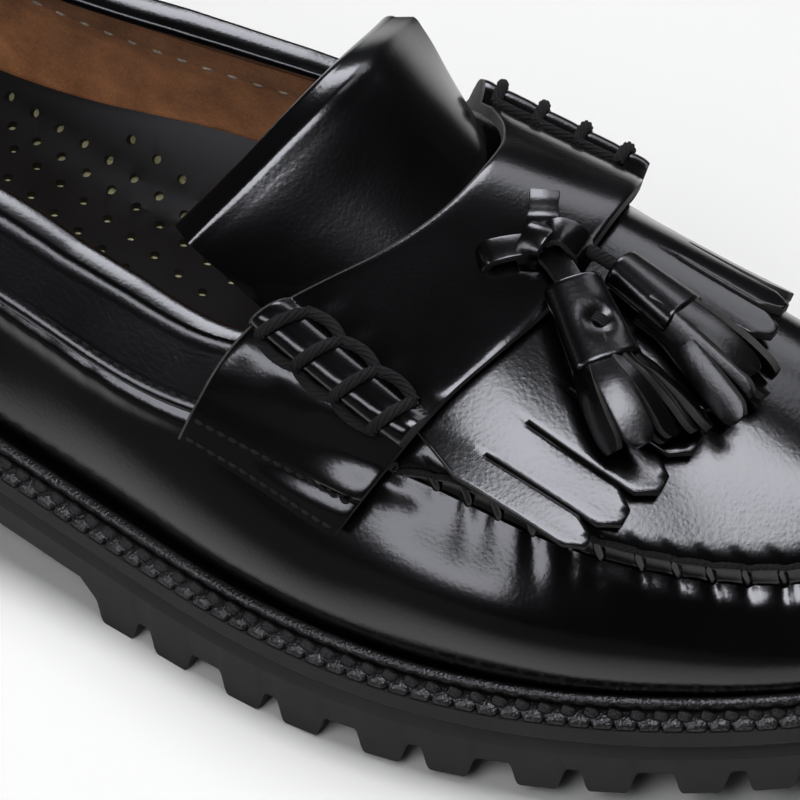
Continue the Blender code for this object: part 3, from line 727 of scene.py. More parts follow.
@dataclass(frozen=True)
class Last:
    """The form that the shoe is drawn over.

    Attributes:
        heel_height: Height of the sole's upper face at the heel.
        ball_height: Its height at the ball.
        heel_flat_end: Where the heel seat ends, as x.
        ball_flat_start: Where the forepart starts, as x.
        toe_spring: How far the sole's upper face climbs to the toe.
        spring_start: Where it starts to climb, as x.
        toe_end: Front end of the sole, as x.
        feather_lift: Height of the upper's lower edge over the sole.
        apron_ridge: How far the apron's edge stands over the wall.
        panel_step: How far the collar panel stands out from the wall.
        low_pull: Share of the wall's height that rises straight from its foot.
        high_pull: Share of the wall's height that arrives straight at the seam.
        high_bulge: Share of the bulge that is left near the seam.
        apron_outer: Stations between which the seam's ridge grows on the outer side.
        apron_inner: Stations between which it fades on the inner side.
    """

    heel_height: float = 29.0
    ball_height: float = 17.0
    heel_flat_end: float = -100.0
    ball_flat_start: float = 25.0
    toe_spring: float = 8.0
    spring_start: float = 42.0
    toe_end: float = 143.0
    feather_lift: float = 1.0
    apron_ridge: float = 4.2
    panel_step: float = 1.2
    low_pull: float = 0.45
    high_pull: float = 0.25
    high_bulge: float = 0.8
    apron_outer: Pair = (5.9, 6.5)
    apron_inner: Pair = (13.5, 14.1)

    row = staticmethod(closed_spline([row[1:] for row in STATIONS]))

    def sole_top(self, x: Net | float) -> Net:
        """Height of the sole's upper face."""
        climb = np.clip((np.asarray(x) - self.spring_start) / (self.toe_end - self.spring_start), 0.0, None) ** 2
        fall = (self.ball_height - self.heel_height) * ease(x, self.heel_flat_end, self.ball_flat_start)
        return self.heel_height + fall + self.toe_spring * climb

    def outward(self, station: Net | float) -> Net:
        """Level direction out of the shoe, square to the feather line."""
        station = np.asarray(station, float)
        ahead = unit((self.row(station + 1e-6) - self.row(station - 1e-6))[..., :2])
        return np.stack([ahead[..., 1], -ahead[..., 0], np.zeros_like(ahead[..., 0])], -1)

    def outline(self, station: Net | float, offset: Net | float, height: Net | float) -> Net:
        """A point out from the feather line.

        Args:
            station: Place round the shoe.
            offset: Distance out from the feather line.
            height: Height over the sole's upper face.

        Returns:
            The point.
        """
        flat = self.row(station)[..., :2] + self.outward(station)[..., :2] * np.asarray(offset)[..., None]
        return np.concatenate([flat, (self.sole_top(flat[..., 0]) + height)[..., None]], -1)

    def front_share(self, station: Net | float) -> Net:
        """1 where the apron seam runs round the forepart, 0 along the collar."""
        station = np.asarray(station, float) % ROUND
        return ease(station, *self.apron_outer) * (1.0 - ease(station, *self.apron_inner))

    def point(self, station: Net | float, level: Net | float) -> Net:
        """The upper's outer surface.

        Args:
            station: Place round the shoe.
            level: 0 to 1 climbs the wall to the seam, 1 to 2 goes on to the rim.

        Returns:
            The point.
        """
        station, level = np.broadcast_arrays(np.asarray(station, float), np.asarray(level, float))
        row = self.row(station)
        out = self.outward(station)
        feather = self.outline(station, 0.0, self.feather_lift)
        seam, rim = row[..., 2:5], row[..., 5:8]
        bulge, crown = row[..., 8:9], row[..., 9:10]
        height = (seam - feather)[..., 2:3]
        climb = np.clip(level, 0.0, 1.0)[..., None]
        rest = 1.0 - climb
        low = feather + UP * self.low_pull * height + out * bulge
        high = seam - UP * self.high_pull * height + out * self.high_bulge * bulge
        wall = rest**3 * feather + 3 * rest**2 * climb * low + 3 * rest * climb**2 * high + climb**3 * seam
        front = self.front_share(station)[..., None]
        edge = seam + UP * self.apron_ridge * front + out * self.panel_step * (1.0 - front)
        share = np.clip(level - 1.0, 0.0, 1.0)[..., None]
        rise = share + crown * share * (1.0 - share)
        top = edge + (rim - edge) * np.concatenate([share, share, rise], -1)
        return np.where(level[..., None] <= 1.0, wall, top)

    def normal(self, station: Net, level: Net | float) -> tuple[Net, Net]:
        """Outward normal and upward direction of the surface, kept to one side of the seam.

        Args:
            station: Place round the shoe.
            level: Place up the wall, as in point.

        Returns:
            The normals and the upward directions.
        """
        step = 0.01
        station, level = np.broadcast_arrays(np.asarray(station, float), np.asarray(level, float))
        above = level > 1.0
        low = np.where(above, np.clip(level - step, 1.0 + step, 2.0), np.clip(level - step, 0.0, 1.0))
        high = np.where(above, np.clip(level + step, 1.0 + step, 2.0), np.clip(level + step, 0.0, 1.0))
        climb = self.point(station, high) - self.point(station, low)
        ahead = self.point(station + step, level) - self.point(station - step, level)
        normal = unit(np.cross(ahead, climb))
        return normal, unit(np.cross(normal, ahead))

    def inside(self, station: Net, level: Net | float, depth: Net | float) -> Net:
        """Points this deep under the surface."""
        return self.point(station, level) - self.normal(station, level)[0] * depth


LAST = Last()


# Sole and welt
@dataclass
class Sole:
    """Outsole and heel in one rubber moulding: stepped sides, lugs round the edge, ribs along the middle."""

    ledge_offset: float = 6.2
    side_steps: Rows = ((0.0, 0.0), (0.0, 2.6), (1.4, 4.4), (0.4, 6.2))
    lug_depth: float = 4.6
    lug_half: float = 2.7
    lug_flank: float = 2.0
    # share of a lug's flank from its foot, share of its depth
    flank_curve: Rows = (
        (0.0, 0.0),
        (0.2, 0.12),
        (0.42, 0.45),
        (0.6, 0.76),
        (0.8, 0.94),
        (1.0, 1.0),
    )
    pair_pitch: float = 25.8
    pair_gap: float = 11.2
    forepart_start: float = 0.5
    breast_x: float = -66.0
    breast_run: float = 3.0
    waist_thickness: float = 11.6
    lug_wall_inset: float = 1.2
    lug_width: float = 14.0
    rib: tuple[tuple[float, bool], ...] = ((0.26, False), (0.30, True), (0.70, True), (0.74, False))
    tread_spring: float = 11.0
    tread_start: float = 20.0
    tread_bend: float = 1.6
    row_step: float = 2.0
    edge_round: float = 0.55
    edge_angle: float = 32.0

    def tread(self, x: Net | float) -> Net:
        """How far the tread curves up from the floor in front of the ball."""
        share = np.clip((np.asarray(x) - self.tread_start) / (LAST.toe_end - self.tread_start), 0.0, None)
        return self.tread_spring * share**self.tread_bend

    def rows(self) -> list[tuple[float, float, bool]]:
        """Rows of the sole from heel to toe.

        Returns:
            Station, share of a lug's depth that the row reaches down, and whether it is in the waist.
        """
        station = np.linspace(0.0, TOE, 4001)
        edge = LAST.outline(station, self.ledge_offset, 0.0)
        length = travelled(edge[:, :2])
        breast = np.interp(self.breast_x, edge[:, 0], length)
        forepart = np.interp(self.forepart_start, edge[:, 0], length)
        half = self.lug_half + self.lug_flank
        rows = [(0.0, 1.0, False)]
        for start, end in ((self.pair_gap, breast - half), (forepart, length[-1] - half)):
            for pair in np.arange(start, end, self.pair_pitch):
                for middle in (pair, pair + self.pair_gap):
                    if middle <= end:
                        for share, depth in self.flank_curve:
                            away = half - self.lug_flank * share
                            rows += [(middle - away, depth, False), (middle + away, depth, False)]
        rows += [(breast - self.breast_run, 1.0, False), (breast, 1.0, False)]
        rows += [(breast + self.breast_run, 0.0, True), (forepart - half - self.breast_run, 0.0, True)]
        rows.append((length[-1], 1.0, False))
        rows.sort()
        full = [rows[0]]
        for before, after in zip(rows, rows[1:]):
            if before[1:] == after[1:]:
                count = int((after[0] - before[0]) / self.row_step)
                full += [(place, *after[1:]) for place in np.linspace(before[0], after[0], count + 2)[1:-1]]
            full.append(after)
        return [(float(np.interp(place, length, station)), lug, waist) for place, lug, waist in full]

    def section(self, station: float, lug: float, waist: bool) -> Net:
        """One closed cross-section, from the outer edge under the tread to the inner edge.

        Args:
            station: Place along the outer side.
            lug: Share of a lug's depth that the tread reaches down.
            waist: Whether it lies in the bare waist.

        Returns:
            The section's points.
        """
        middle = 0.5 * (LAST.outline(station, 0.0, 0.0)[0] + LAST.outline(ROUND - station, 0.0, 0.0)[0])
        root = LAST.sole_top(middle) - self.waist_thickness if waist else self.lug_depth + self.tread(middle)
        bottom = root + (self.tread(middle) - root) * lug
        sides = []
        for side in (station, ROUND - station):
            top = LAST.sole_top(LAST.outline(side, self.ledge_offset, 0.0)[0])
            profile = [(self.ledge_offset - inset, top - depth) for inset, depth in self.side_steps]
            outer = self.ledge_offset - self.lug_wall_inset
            inner = outer - self.lug_width
            profile += [(outer, bottom), (inner, bottom), (inner - self.lug_flank, root)]
            sides.append([[*LAST.outline(side, offset, 0.0)[:2], height] for offset, height in profile])
        outer, inner = (np.array(side) for side in sides)
        rib = [
            [*(outer[-1, :2] * (1.0 - share) + inner[-1, :2] * share), bottom if touches else root]
            for share, touches in self.rib
        ]
        return np.concatenate([outer, rib, inner[::-1], outer[:1]])

    def build(self) -> list[Piece]:
        """Moulds the sole and rounds its edges."""
        bm = bmesh.new()
        add_net(bm, np.array([self.section(*row) for row in self.rows()]))
        bmesh.ops.dissolve_degenerate(bm, edges=bm.edges, dist=1e-6)
        obj = place_piece("sole_moulding", bm, RUBBER, ("outsole",), self.edge_angle)
        soften_edges(obj, self.edge_round, self.edge_angle)
        return [obj]


@dataclass
class Welt:
    """Storm welt: a grainy bead against the upper, and a gimped flange sewn to the sole."""

    bead: Triple = (2.5, 3.1, 1.05)
    bead_points: int = 720
    bead_sides: int = 14
    pitch: float = 3.6
    steps: int = 12
    # distance out from the feather line, height over the sole, how far the gap between tabs cuts in
    flange: Rows = (
        (2.2, 0.15, 0.0),
        (2.6, 1.9, 0.0),
        (3.6, 1.9, 0.0),
        (4.6, 1.85, 0.1),
        (5.3, 1.65, 0.3),
        (5.7, 1.3, 0.65),
        (5.9, 0.8, 0.8),
        (5.95, 0.3, 0.8),
        (5.4, 0.1, 0.4),
    )
    edge_line: float = 5.0
    tab_arc: float = 0.45
    tab_arc_over: float = 1.2
    gap_share: float = 0.13
    # distance out from the feather line, height over the sole, half length, radius
    stitch: tuple[float, float, float, float] = (4.5, 2.15, 1.45, 0.85)
    stitch_lean: float = 0.3
    stitch_bend: float = 0.4
    stitch_rows: int = 7

    def stations(self, count: int) -> Net:
        """Stations evenly spaced along the flange.

        Args:
            count: How many steps each tab has.

        Returns:
            The stations, the first repeated at the end.
        """
        fine = np.linspace(0.0, ROUND, 8001)
        edge = LAST.outline(fine, self.edge_line, 0.0)
        length = travelled(edge)
        tabs = int(round(length[-1] / self.pitch))
        return np.interp(np.linspace(0.0, length[-1], count * tabs + 1), length, fine)

    def build(self) -> list[Piece]:
        """Makes the bead, the flange and the stitches."""
        return [self.build_bead(), self.build_flange(), self.build_stitches()]

    def build_bead(self) -> Piece:
        """The rolled bead that hugs the upper."""
        station = np.linspace(0.0, ROUND, self.bead_points + 1)
        offset, height, radius = self.bead
        turns = np.linspace(0.0, 2.0 * np.pi, self.bead_sides + 1)
        net = [LAST.outline(station, offset + radius * np.cos(t), height + radius * np.sin(t)) for t in turns]
        return net_piece("welt_bead", [closed(net[:-1])], WELT_LEATHER)

    def build_flange(self) -> Piece:
        """The flange, cut into a tab under each stitch."""
        station = self.stations(self.steps)
        phase = np.abs((np.arange(len(station)) / self.steps) % 1.0 - 0.5) * 2.0
        gap = ease(phase, 1.0 - 2.0 * self.gap_share, 1.0)
        arc = ease(phase, 0.1, 1.0)
        net = []
        for offset, height, cut in self.flange:
            drop = self.tab_arc * arc if height > self.tab_arc_over and offset > self.edge_line else 0.0
            net.append(LAST.outline(station, offset - cut * gap, height - drop))
        return net_piece("welt_flange", [closed(net)], WELT_LEATHER, ("welt",), sharp=70.0)

    def build_stitches(self) -> Piece:
        """One waxed stitch over each tab."""
        station = self.stations(1)[:-1]
        offset, height, half, radius = self.stitch
        middle = LAST.outline(station, offset, height)
        out = LAST.outward(station)
        run = unit(np.cross(out, UP) + UP * self.stitch_lean)
        share = np.linspace(-1.0, 1.0, self.stitch_rows)[:, None]
        width = radius * bead_share(self.stitch_rows)
        nets = []
        for place, along, side in zip(middle, run, out):
            line = place + half * share * along - (side + UP) * self.stitch_bend * share**2
            nets.append(tube(line, np.tile(side + UP, (self.stitch_rows, 1)), width, 0.7 * width, 8))
        return net_piece("welt_stitches", nets, WAXED_THREAD)


# Upper
@dataclass
class Upper:
    """Wall, collar panel, apron and linings, drawn over the last and sewn together."""

    wall: float = 1.8
    around: int = 760
    pleat_pitch: float = 5.7
    pleat_depth: float = 0.5
    pleat_reach: float = 5.5
    apron_start: float = 6.15
    apron_end: float = 13.85
    lip: float = 3.2
    # up from the collar panel's lower edge, out from its face
    lip_profile: Rows = (
        (1.0, 0.1),
        (1.15, 0.34),
        (1.45, 0.38),
        (2.1, 0.22),
        (2.7, 0.04),
        (3.0, -0.1),
        (3.4, 0.0),
    )
    # tilt of each face of the padded topline from level, from the outside over the top, and its length
    topline_faces: Rows = (
        (66.0, 0.3),
        (58.0, 0.9),
        (54.0, 0.9),
        (34.0, 0.3),
        (9.0, 0.5),
        (5.0, 1.0),
        (0.0, 1.1),
        (-7.0, 1.0),
        (-18.0, 0.8),
        (-40.0, 0.6),
        (-75.0, 0.6),
        (-110.0, 0.7),
        (-150.0, 0.6),
    )
    # x, how far the topline's foot lies below the rim on the outer and on the inner side, its thickness
    topline_drop: Rows = (
        (-140.0, 2.0, 2.0, 1.1),
        (-75.0, 3.0, -0.8, 1.1),
        (-28.0, 5.8, -3.6, 1.1),
        (-19.0, 6.3, -3.6, 1.05),
        (-6.0, 6.2, -3.3, 1.0),
        (6.0, 6.5, -2.6, 0.9),
        (16.0, 6.4, -1.2, 0.85),
        (40.0, 3.0, 3.0, 0.5),
    )
    stitch_level: float = 1.14
    stitch_pitch: float = 2.2
    lining_level: float = 0.52
    lining_pitch: float = 4.6
    thread_radius: float = 0.55
    wall_leather: float = 1.3
    collar_leather: float = 1.2
    apron_leather: float = 1.5
    suede_half: float = 0.35
    # bands of the lining under the rolled topline that take the darker suede colour
    top_band_columns: int = 4
    # shares of the way up the collar and levels of the wall where the lining has its rows, then those of its back
    lining_shares: Values = (0.97, 0.88, 0.75, 0.62, 0.5, 0.35, 0.25)
    lining_levels: Values = (0.68, 0.5, 0.3, 0.15, 0.0)
    lining_back: Values = (-1.0, -0.7, -0.32, 0.25, 0.6, 0.97)
    # rows of the wall, how close they lie near the seam, levels of the rows of its back
    wall_rows: int = 34
    wall_bias: float = 1.25
    back_levels: Values = (0.9, 0.6, 0.3, 0.0)
    # depth, size and place in the noise of the leather's unevenness
    wall_wave: Triple = (0.25, 26.0, 3.0)
    collar_wave: Triple = (0.1, 30.0, 5.0)
    apron_wave: Triple = (0.2, 17.0, 1.5)
    front_thinning: float = 0.6
    # the ridge under the apron's lip: its hollow, inset and pinch at a gather, and the lip's drop and pinch
    ridge_hollow: float = 0.5
    ridge_inset: float = 0.25
    ridge_pinch: float = 0.3
    pinch_width: float = 0.8
    lip_drop: float = 1.4
    lip_pinch: float = 1.8
    # distance along the seam from a gather, share of the way up to the apron's edge, distance out
    fold_line: Rows = (
        (-0.9, 0.92, 0.1),
        (-0.5, 0.6, -0.1),
        (0.0, 0.25, -0.25),
        (0.2, -0.05, -0.35),
        (0.1, -0.35, -1.1),
    )
    # half width and half thickness of a fold
    fold_size: Pair = (0.7, 0.35)
    toe_sink: float = 5.0
    toe_sink_x: Pair = (14.0, 40.0)
    # height of a swell of the wall, its distance below the seam, its width
    tight_swell: Triple = (0.7, 3.4, 2.7)
    broad_swell: Triple = (1.4, 16.0, 8.0)
    collar_puff: Triple = (0.75, 2.6, 2.4)
    collar_creases: Triple = (0.14, 2.5, 3.0)

    def __post_init__(self) -> None:
        """Measures the seam and sets out its gathers."""
        self.fine = np.linspace(0.0, ROUND, 4001)
        seam = LAST.row(self.fine)[:, 2:5]
        self.length = travelled(seam)
        first, last = (float(np.interp(s, self.fine, self.length)) for s in (self.apron_start, self.apron_end))
        count = int((last - first) / self.pleat_pitch)
        self.pleats = np.linspace(first, last, count + 1)
        chance = np.random.default_rng(7)
        self.pleats = self.pleats + chance.uniform(-0.5, 0.5, len(self.pleats))
        self.pleat_sizes = chance.uniform(0.65, 1.15, len(self.pleats))
        self.pleat_leans = chance.uniform(-0.1, 0.32, len(self.pleats))
        self.pleat_reaches = self.pleat_reach * chance.uniform(0.7, 1.25, len(self.pleats))

    def seam_station(self, place: Net | float) -> Net:
        """Station at this distance along the seam."""
        return np.interp(place, self.length, self.fine)

    def gathers(self, station: Net, below: Net) -> Net:
        """How far the wall's leather is pulled in and swells between the seam's stitches.

        Args:
            station: Place round the shoe.
            below: Distance below the seam.

        Returns:
            Movement along the wall's normal.
        """
        place = np.interp(station % ROUND, self.fine, self.length)
        front = LAST.front_share(station)
        pull = np.zeros_like(place)
        rows = zip(self.pleats, self.pleat_sizes, self.pleat_leans, self.pleat_reaches)
        for middle, size, lean, reach in rows:
            width = 1.0 + 0.13 * below
            away = (place - middle - lean * below) / width
            pull += size * np.exp(-(away**2)) * np.exp(-((below / reach) ** 1.5))
        tight = ease(TOE - np.abs(station % ROUND - TOE), 6.7, 7.7)
        swell = tight * hump(below, *self.tight_swell) + (1.0 - tight) * hump(below, *self.broad_swell)
        return front * (swell - self.pleat_depth * pull)

    def build(self) -> list[Piece]:
        """Makes every piece of the upper."""
        pieces = [self.build_wall(), self.build_collar(), self.build_apron(), self.build_lining()]
        rows = [self.build_collar_stitches(), self.build_lining_stitches()]
        return [*pieces, self.build_apron_thread(), self.build_ladder(), *rows]

    def build_wall(self) -> Piece:
        """The gathered wall from the welt to the seam."""
        station = np.linspace(0.0, ROUND, self.around + 1)
        levels = 1.0 - np.linspace(1.0, 0.0, self.wall_rows) ** self.wall_bias
        height = LAST.row(station)[:, 4] - LAST.sole_top(LAST.row(station)[:, 0])
        section = []
        for level in levels:
            point = LAST.point(station, level)
            normal, _ = LAST.normal(station, level)
            below = (1.0 - level) * height
            soft = self.wall_wave[0] * unevenness(point, *self.wall_wave[1:]) * ease(level, 0.05, 0.3)
            crease = unevenness(point * (1.0, 1.0, 0.35), 1.5, 9.0) * hump(below, *self.collar_creases)
            puff = hump(below, *self.collar_puff)
            move = self.gathers(station, below) + soft + (crease + puff) * (1.0 - LAST.front_share(station))
            section.append(point + normal * move[:, None])
        top, _ = LAST.normal(station, 1.0)
        section.append(LAST.point(station, 1.0) - top * 1.2 + UP * 0.4)
        section += [LAST.inside(station, level, self.wall_leather) for level in self.back_levels]
        net = closed(section)
        net[-1] = net[0]
        return net_piece("vamp_wall", [net], GLOSS_LEATHER, ("upper",), sharp=60.0)

    def topline(self, station: Net) -> tuple[Net, Net, Net]:
        """Level where the padded topline starts at these stations, its thickness and its rise over the rim."""
        rim, edge = LAST.point(station, 2.0), LAST.point(station, 1.001)
        table = np.array(self.topline_drop).T
        outer, inner, size = (np.interp(rim[:, 0], table[0], row) for row in table[1:])
        drop = outer + (inner - outer) * ease(rim[:, 1], -10.0, 10.0)
        top = 2.0 - np.maximum(drop, 0.05) / np.linalg.norm(rim - edge, axis=1)
        return top, size, np.maximum(-drop, 0.0)

    def build_collar(self) -> Piece:
        """The panel round the collar, with its cut lower edge and its padded, rolled topline."""
        station = np.linspace(self.apron_end, ROUND + self.apron_start, 420)
        front = LAST.front_share(station)
        wall, climb = LAST.normal(station, 0.99)
        seam = LAST.point(station, 1.0)
        edge = LAST.point(station, 1.001)
        panel, rise = LAST.normal(station, 1.05)
        section = [seam - wall * 0.6, seam + wall * 0.2 - climb * 0.2]
        section += [edge + rise * up + panel * out for up, out in self.lip_profile]
        top, size, rise_up = self.topline(station)
        for share in np.linspace(0.2, 1.0, 14):
            level = 1.0 + (top - 1.0) * share
            point = LAST.point(station, level)
            normal, _ = LAST.normal(station, level)
            point = point + UP * (rise_up * ease(share, 0.5, 1.0))[:, None]
            wave = self.collar_wave[0] * unevenness(point, *self.collar_wave[1:])
            section.append(point + normal * wave[:, None])
        out = unit(panel * (1.0, 1.0, 0.0))
        for tilt, length in self.topline_faces:
            turn = math.radians(tilt)
            step = (UP * math.sin(turn) - out * math.cos(turn)) * length
            section.append(section[-1] + step * (size * (1.0 - self.front_thinning * front))[:, None])
        for share in (0.85, 0.4, 0.05):
            section.append(LAST.inside(station, 1.0 + (top - 1.0) * share, self.collar_leather))
        return net_piece("collar_panel", [closed(section)], (GLOSS_LEATHER, PARED_EDGE), bands={1: 1})

    def build_apron(self) -> Piece:
        """The apron that stands over the gathered wall and runs up under the strap."""
        station = np.linspace(self.apron_start, self.apron_end, 440)
        wall, _ = LAST.normal(station, 0.97)
        seam = LAST.point(station, 1.0)
        edge = LAST.point(station, 1.0001)
        inward = unit(LAST.point(station, 1.06) - edge)
        place = np.interp(station, self.fine, self.length)
        pinch = sum(hump(place, 1.0, middle, self.pinch_width) for middle in self.pleats)[:, None]
        section = [seam - wall * 2.2 - UP * 1.5]
        for share in (0.0, 0.25, 0.5, 0.72):
            hollow = self.ridge_hollow * math.sin(math.pi * share) + self.ridge_inset
            section.append(seam + (edge - seam) * share - wall * (hollow + self.ridge_pinch * pinch))
        start, end = edge - UP * self.lip_drop - wall * self.ridge_inset, edge + inward * self.lip
        for share in np.linspace(0.0, 1.0, 6):
            turn = (1 - share) ** 2 * start + 2 * share * (1 - share) * edge + share**2 * end
            section.append(turn - UP * self.lip_pinch * pinch * share * (1.0 - share))
        first = self.lip / np.linalg.norm(LAST.point(station, 2.0) - edge, axis=1)
        for share in np.concatenate([np.linspace(0.02, 0.27, 14), np.linspace(0.3, 1.0, 22)]):
            level = 1.0 + first + (1.0 - first) * share
            point = LAST.point(station, level)
            normal, _ = LAST.normal(station, level)
            dent = self.apron_wave[0] * unevenness(point, *self.apron_wave[1:]) * ease(level, 1.05, 1.2)
            section.append(point + normal * dent[:, None])
        section += [LAST.inside(station, level, self.apron_leather) for level in (2.0, 1.7, 1.35, 1.1, 1.03)]
        return net_piece("apron", [closed(section)], GLOSS_LEATHER, sharp=60.0)

    def build_lining(self) -> Piece:
        """The suede lining from the topline down to the insole, its upper part in a darker suede colour."""
        station = np.linspace(0.0, ROUND, 261)
        top, _, rise_up = self.topline(station)
        sunk = (self.wall + self.toe_sink * ease(LAST.point(station, 1.0)[:, 0], *self.toe_sink_x))[:, None]
        section = []
        for share in self.lining_shares:
            deep = sunk + self.suede_half * ease(1.0 - share, 0.0, 0.25)
            lift = UP * (rise_up * ease(share, 0.5, 1.0))[:, None]
            section.append(LAST.inside(station, 1.0 + (top - 1.0) * share, deep) + lift)
        section += [LAST.inside(station, level, sunk + self.suede_half) for level in self.lining_levels]
        for share in self.lining_back:
            level = 1.0 + np.where(share > 0.0, top - 1.0, 1.0) * share
            lift = UP * (rise_up * ease(share, 0.5, 1.0))[:, None]
            section.append(LAST.inside(station, level, sunk - self.suede_half) + lift)
        net = closed(section)
        net[-1] = net[0]
        # The lining's upper bands, under the rolled topline, take the darker suede colour
        top_band = {column: 1 for column in range(self.top_band_columns)}
        return net_piece("suede_lining", [net], (SUEDE, TOP_BAND_SUEDE), sharp=80.0, bands=top_band)

    def build_apron_thread(self) -> Piece:
        """The twisted thread that runs along the apron's edge."""
        place = np.arange(self.pleats[0], self.pleats[-1], 0.45)
        station = self.seam_station(place)
        wall, _ = LAST.normal(station, 0.97)
        dip = sum(hump(place, 1.0, middle, 1.0) for middle in self.pleats)[:, None]
        line = LAST.point(station, 1.0001) + wall * 0.1 - UP * (0.25 + 0.35 * dip)
        nets = twisted(line, np.tile(UP, (len(line), 1)), self.thread_radius, 3.2)
        return net_piece("apron_thread", nets, THREAD)

    def build_ladder(self) -> Piece:
        """Folds of the apron's edge, one over each gather of the wall."""
        ahead, share, out = np.array(self.fold_line).T
        half_width, half_thickness = self.fold_size
        nets = []
        for middle in self.pleats:
            station = self.seam_station(middle + ahead)
            wall, _ = LAST.normal(station, 0.97)
            seam, edge = LAST.point(station, 1.0), LAST.point(station, 1.0001)
            line = even_line(seam + (edge - seam) * share[:, None] + wall * out[:, None], 0.8)
            up = np.tile(wall[2], (len(line), 1))
            nets.append(tube(line, up, half_width * bead_share(len(line)), half_thickness, 8))
        return net_piece("apron_folds", nets, GLOSS_LEATHER)

    def stitch_stations(self, level: float, pitch: float) -> Net:
        """Stations of stitches along the collar.

        Args:
            level: Place up the wall where they are measured.
            pitch: Distance from one to the next.

        Returns:
            The stations.
        """
        fine = np.linspace(self.apron_end, ROUND + self.apron_start, 3000)
        length = travelled(LAST.point(fine, level))
        return np.interp(np.arange(1.0, length[-1], pitch), length, fine)

    def build_collar_stitches(self) -> Piece:
        """The row of stitches just over the collar panel's cut edge."""
        station = self.stitch_stations(self.stitch_level, self.stitch_pitch)
        return stitch_row("collar_stitches", station, self.stitch_level, -0.02, THREAD)

    def build_lining_stitches(self) -> Piece:
        """The pale row of stitches along the top of the lining."""
        station = self.stitch_stations(1.0 + self.lining_level, self.lining_pitch)
        level = 1.0 + (self.topline(station)[0] - 1.0) * self.lining_level
        return stitch_row("lining_stitches", station, level, -self.wall - 0.4, PALE_THREAD)


def stitch_row(name: str, station: Net, level: Net | float, lift: float, finish: Finish) -> Piece:
    """A row of short stitches along the upper.

    Args:
        name: Piece name.
        station: Where each stitch lies round the shoe.
        level: Its place up the wall.
        lift: Height of its middle over the leather; well below nought, it lies on the inside.
        finish: Its thread.

    Returns:
        The piece.
    """
    nets = []
    normal, climb = LAST.normal(station, level)
    ahead = np.cross(climb, normal)
    middle = LAST.point(station, level) + normal * lift
    normal = normal if lift > -1.0 else -normal
    for place, along, up in zip(middle, ahead, normal):
        line = place + np.linspace(-0.9, 0.9, 5)[:, None] * along
        line -= up * (np.linspace(-1.0, 1.0, 5)[:, None] ** 2) * 0.3
        nets.append(tube(line, np.tile(up, (5, 1)), 0.34 * bead_share(5), 0.28, 6))
    return net_piece(name, nets, finish)


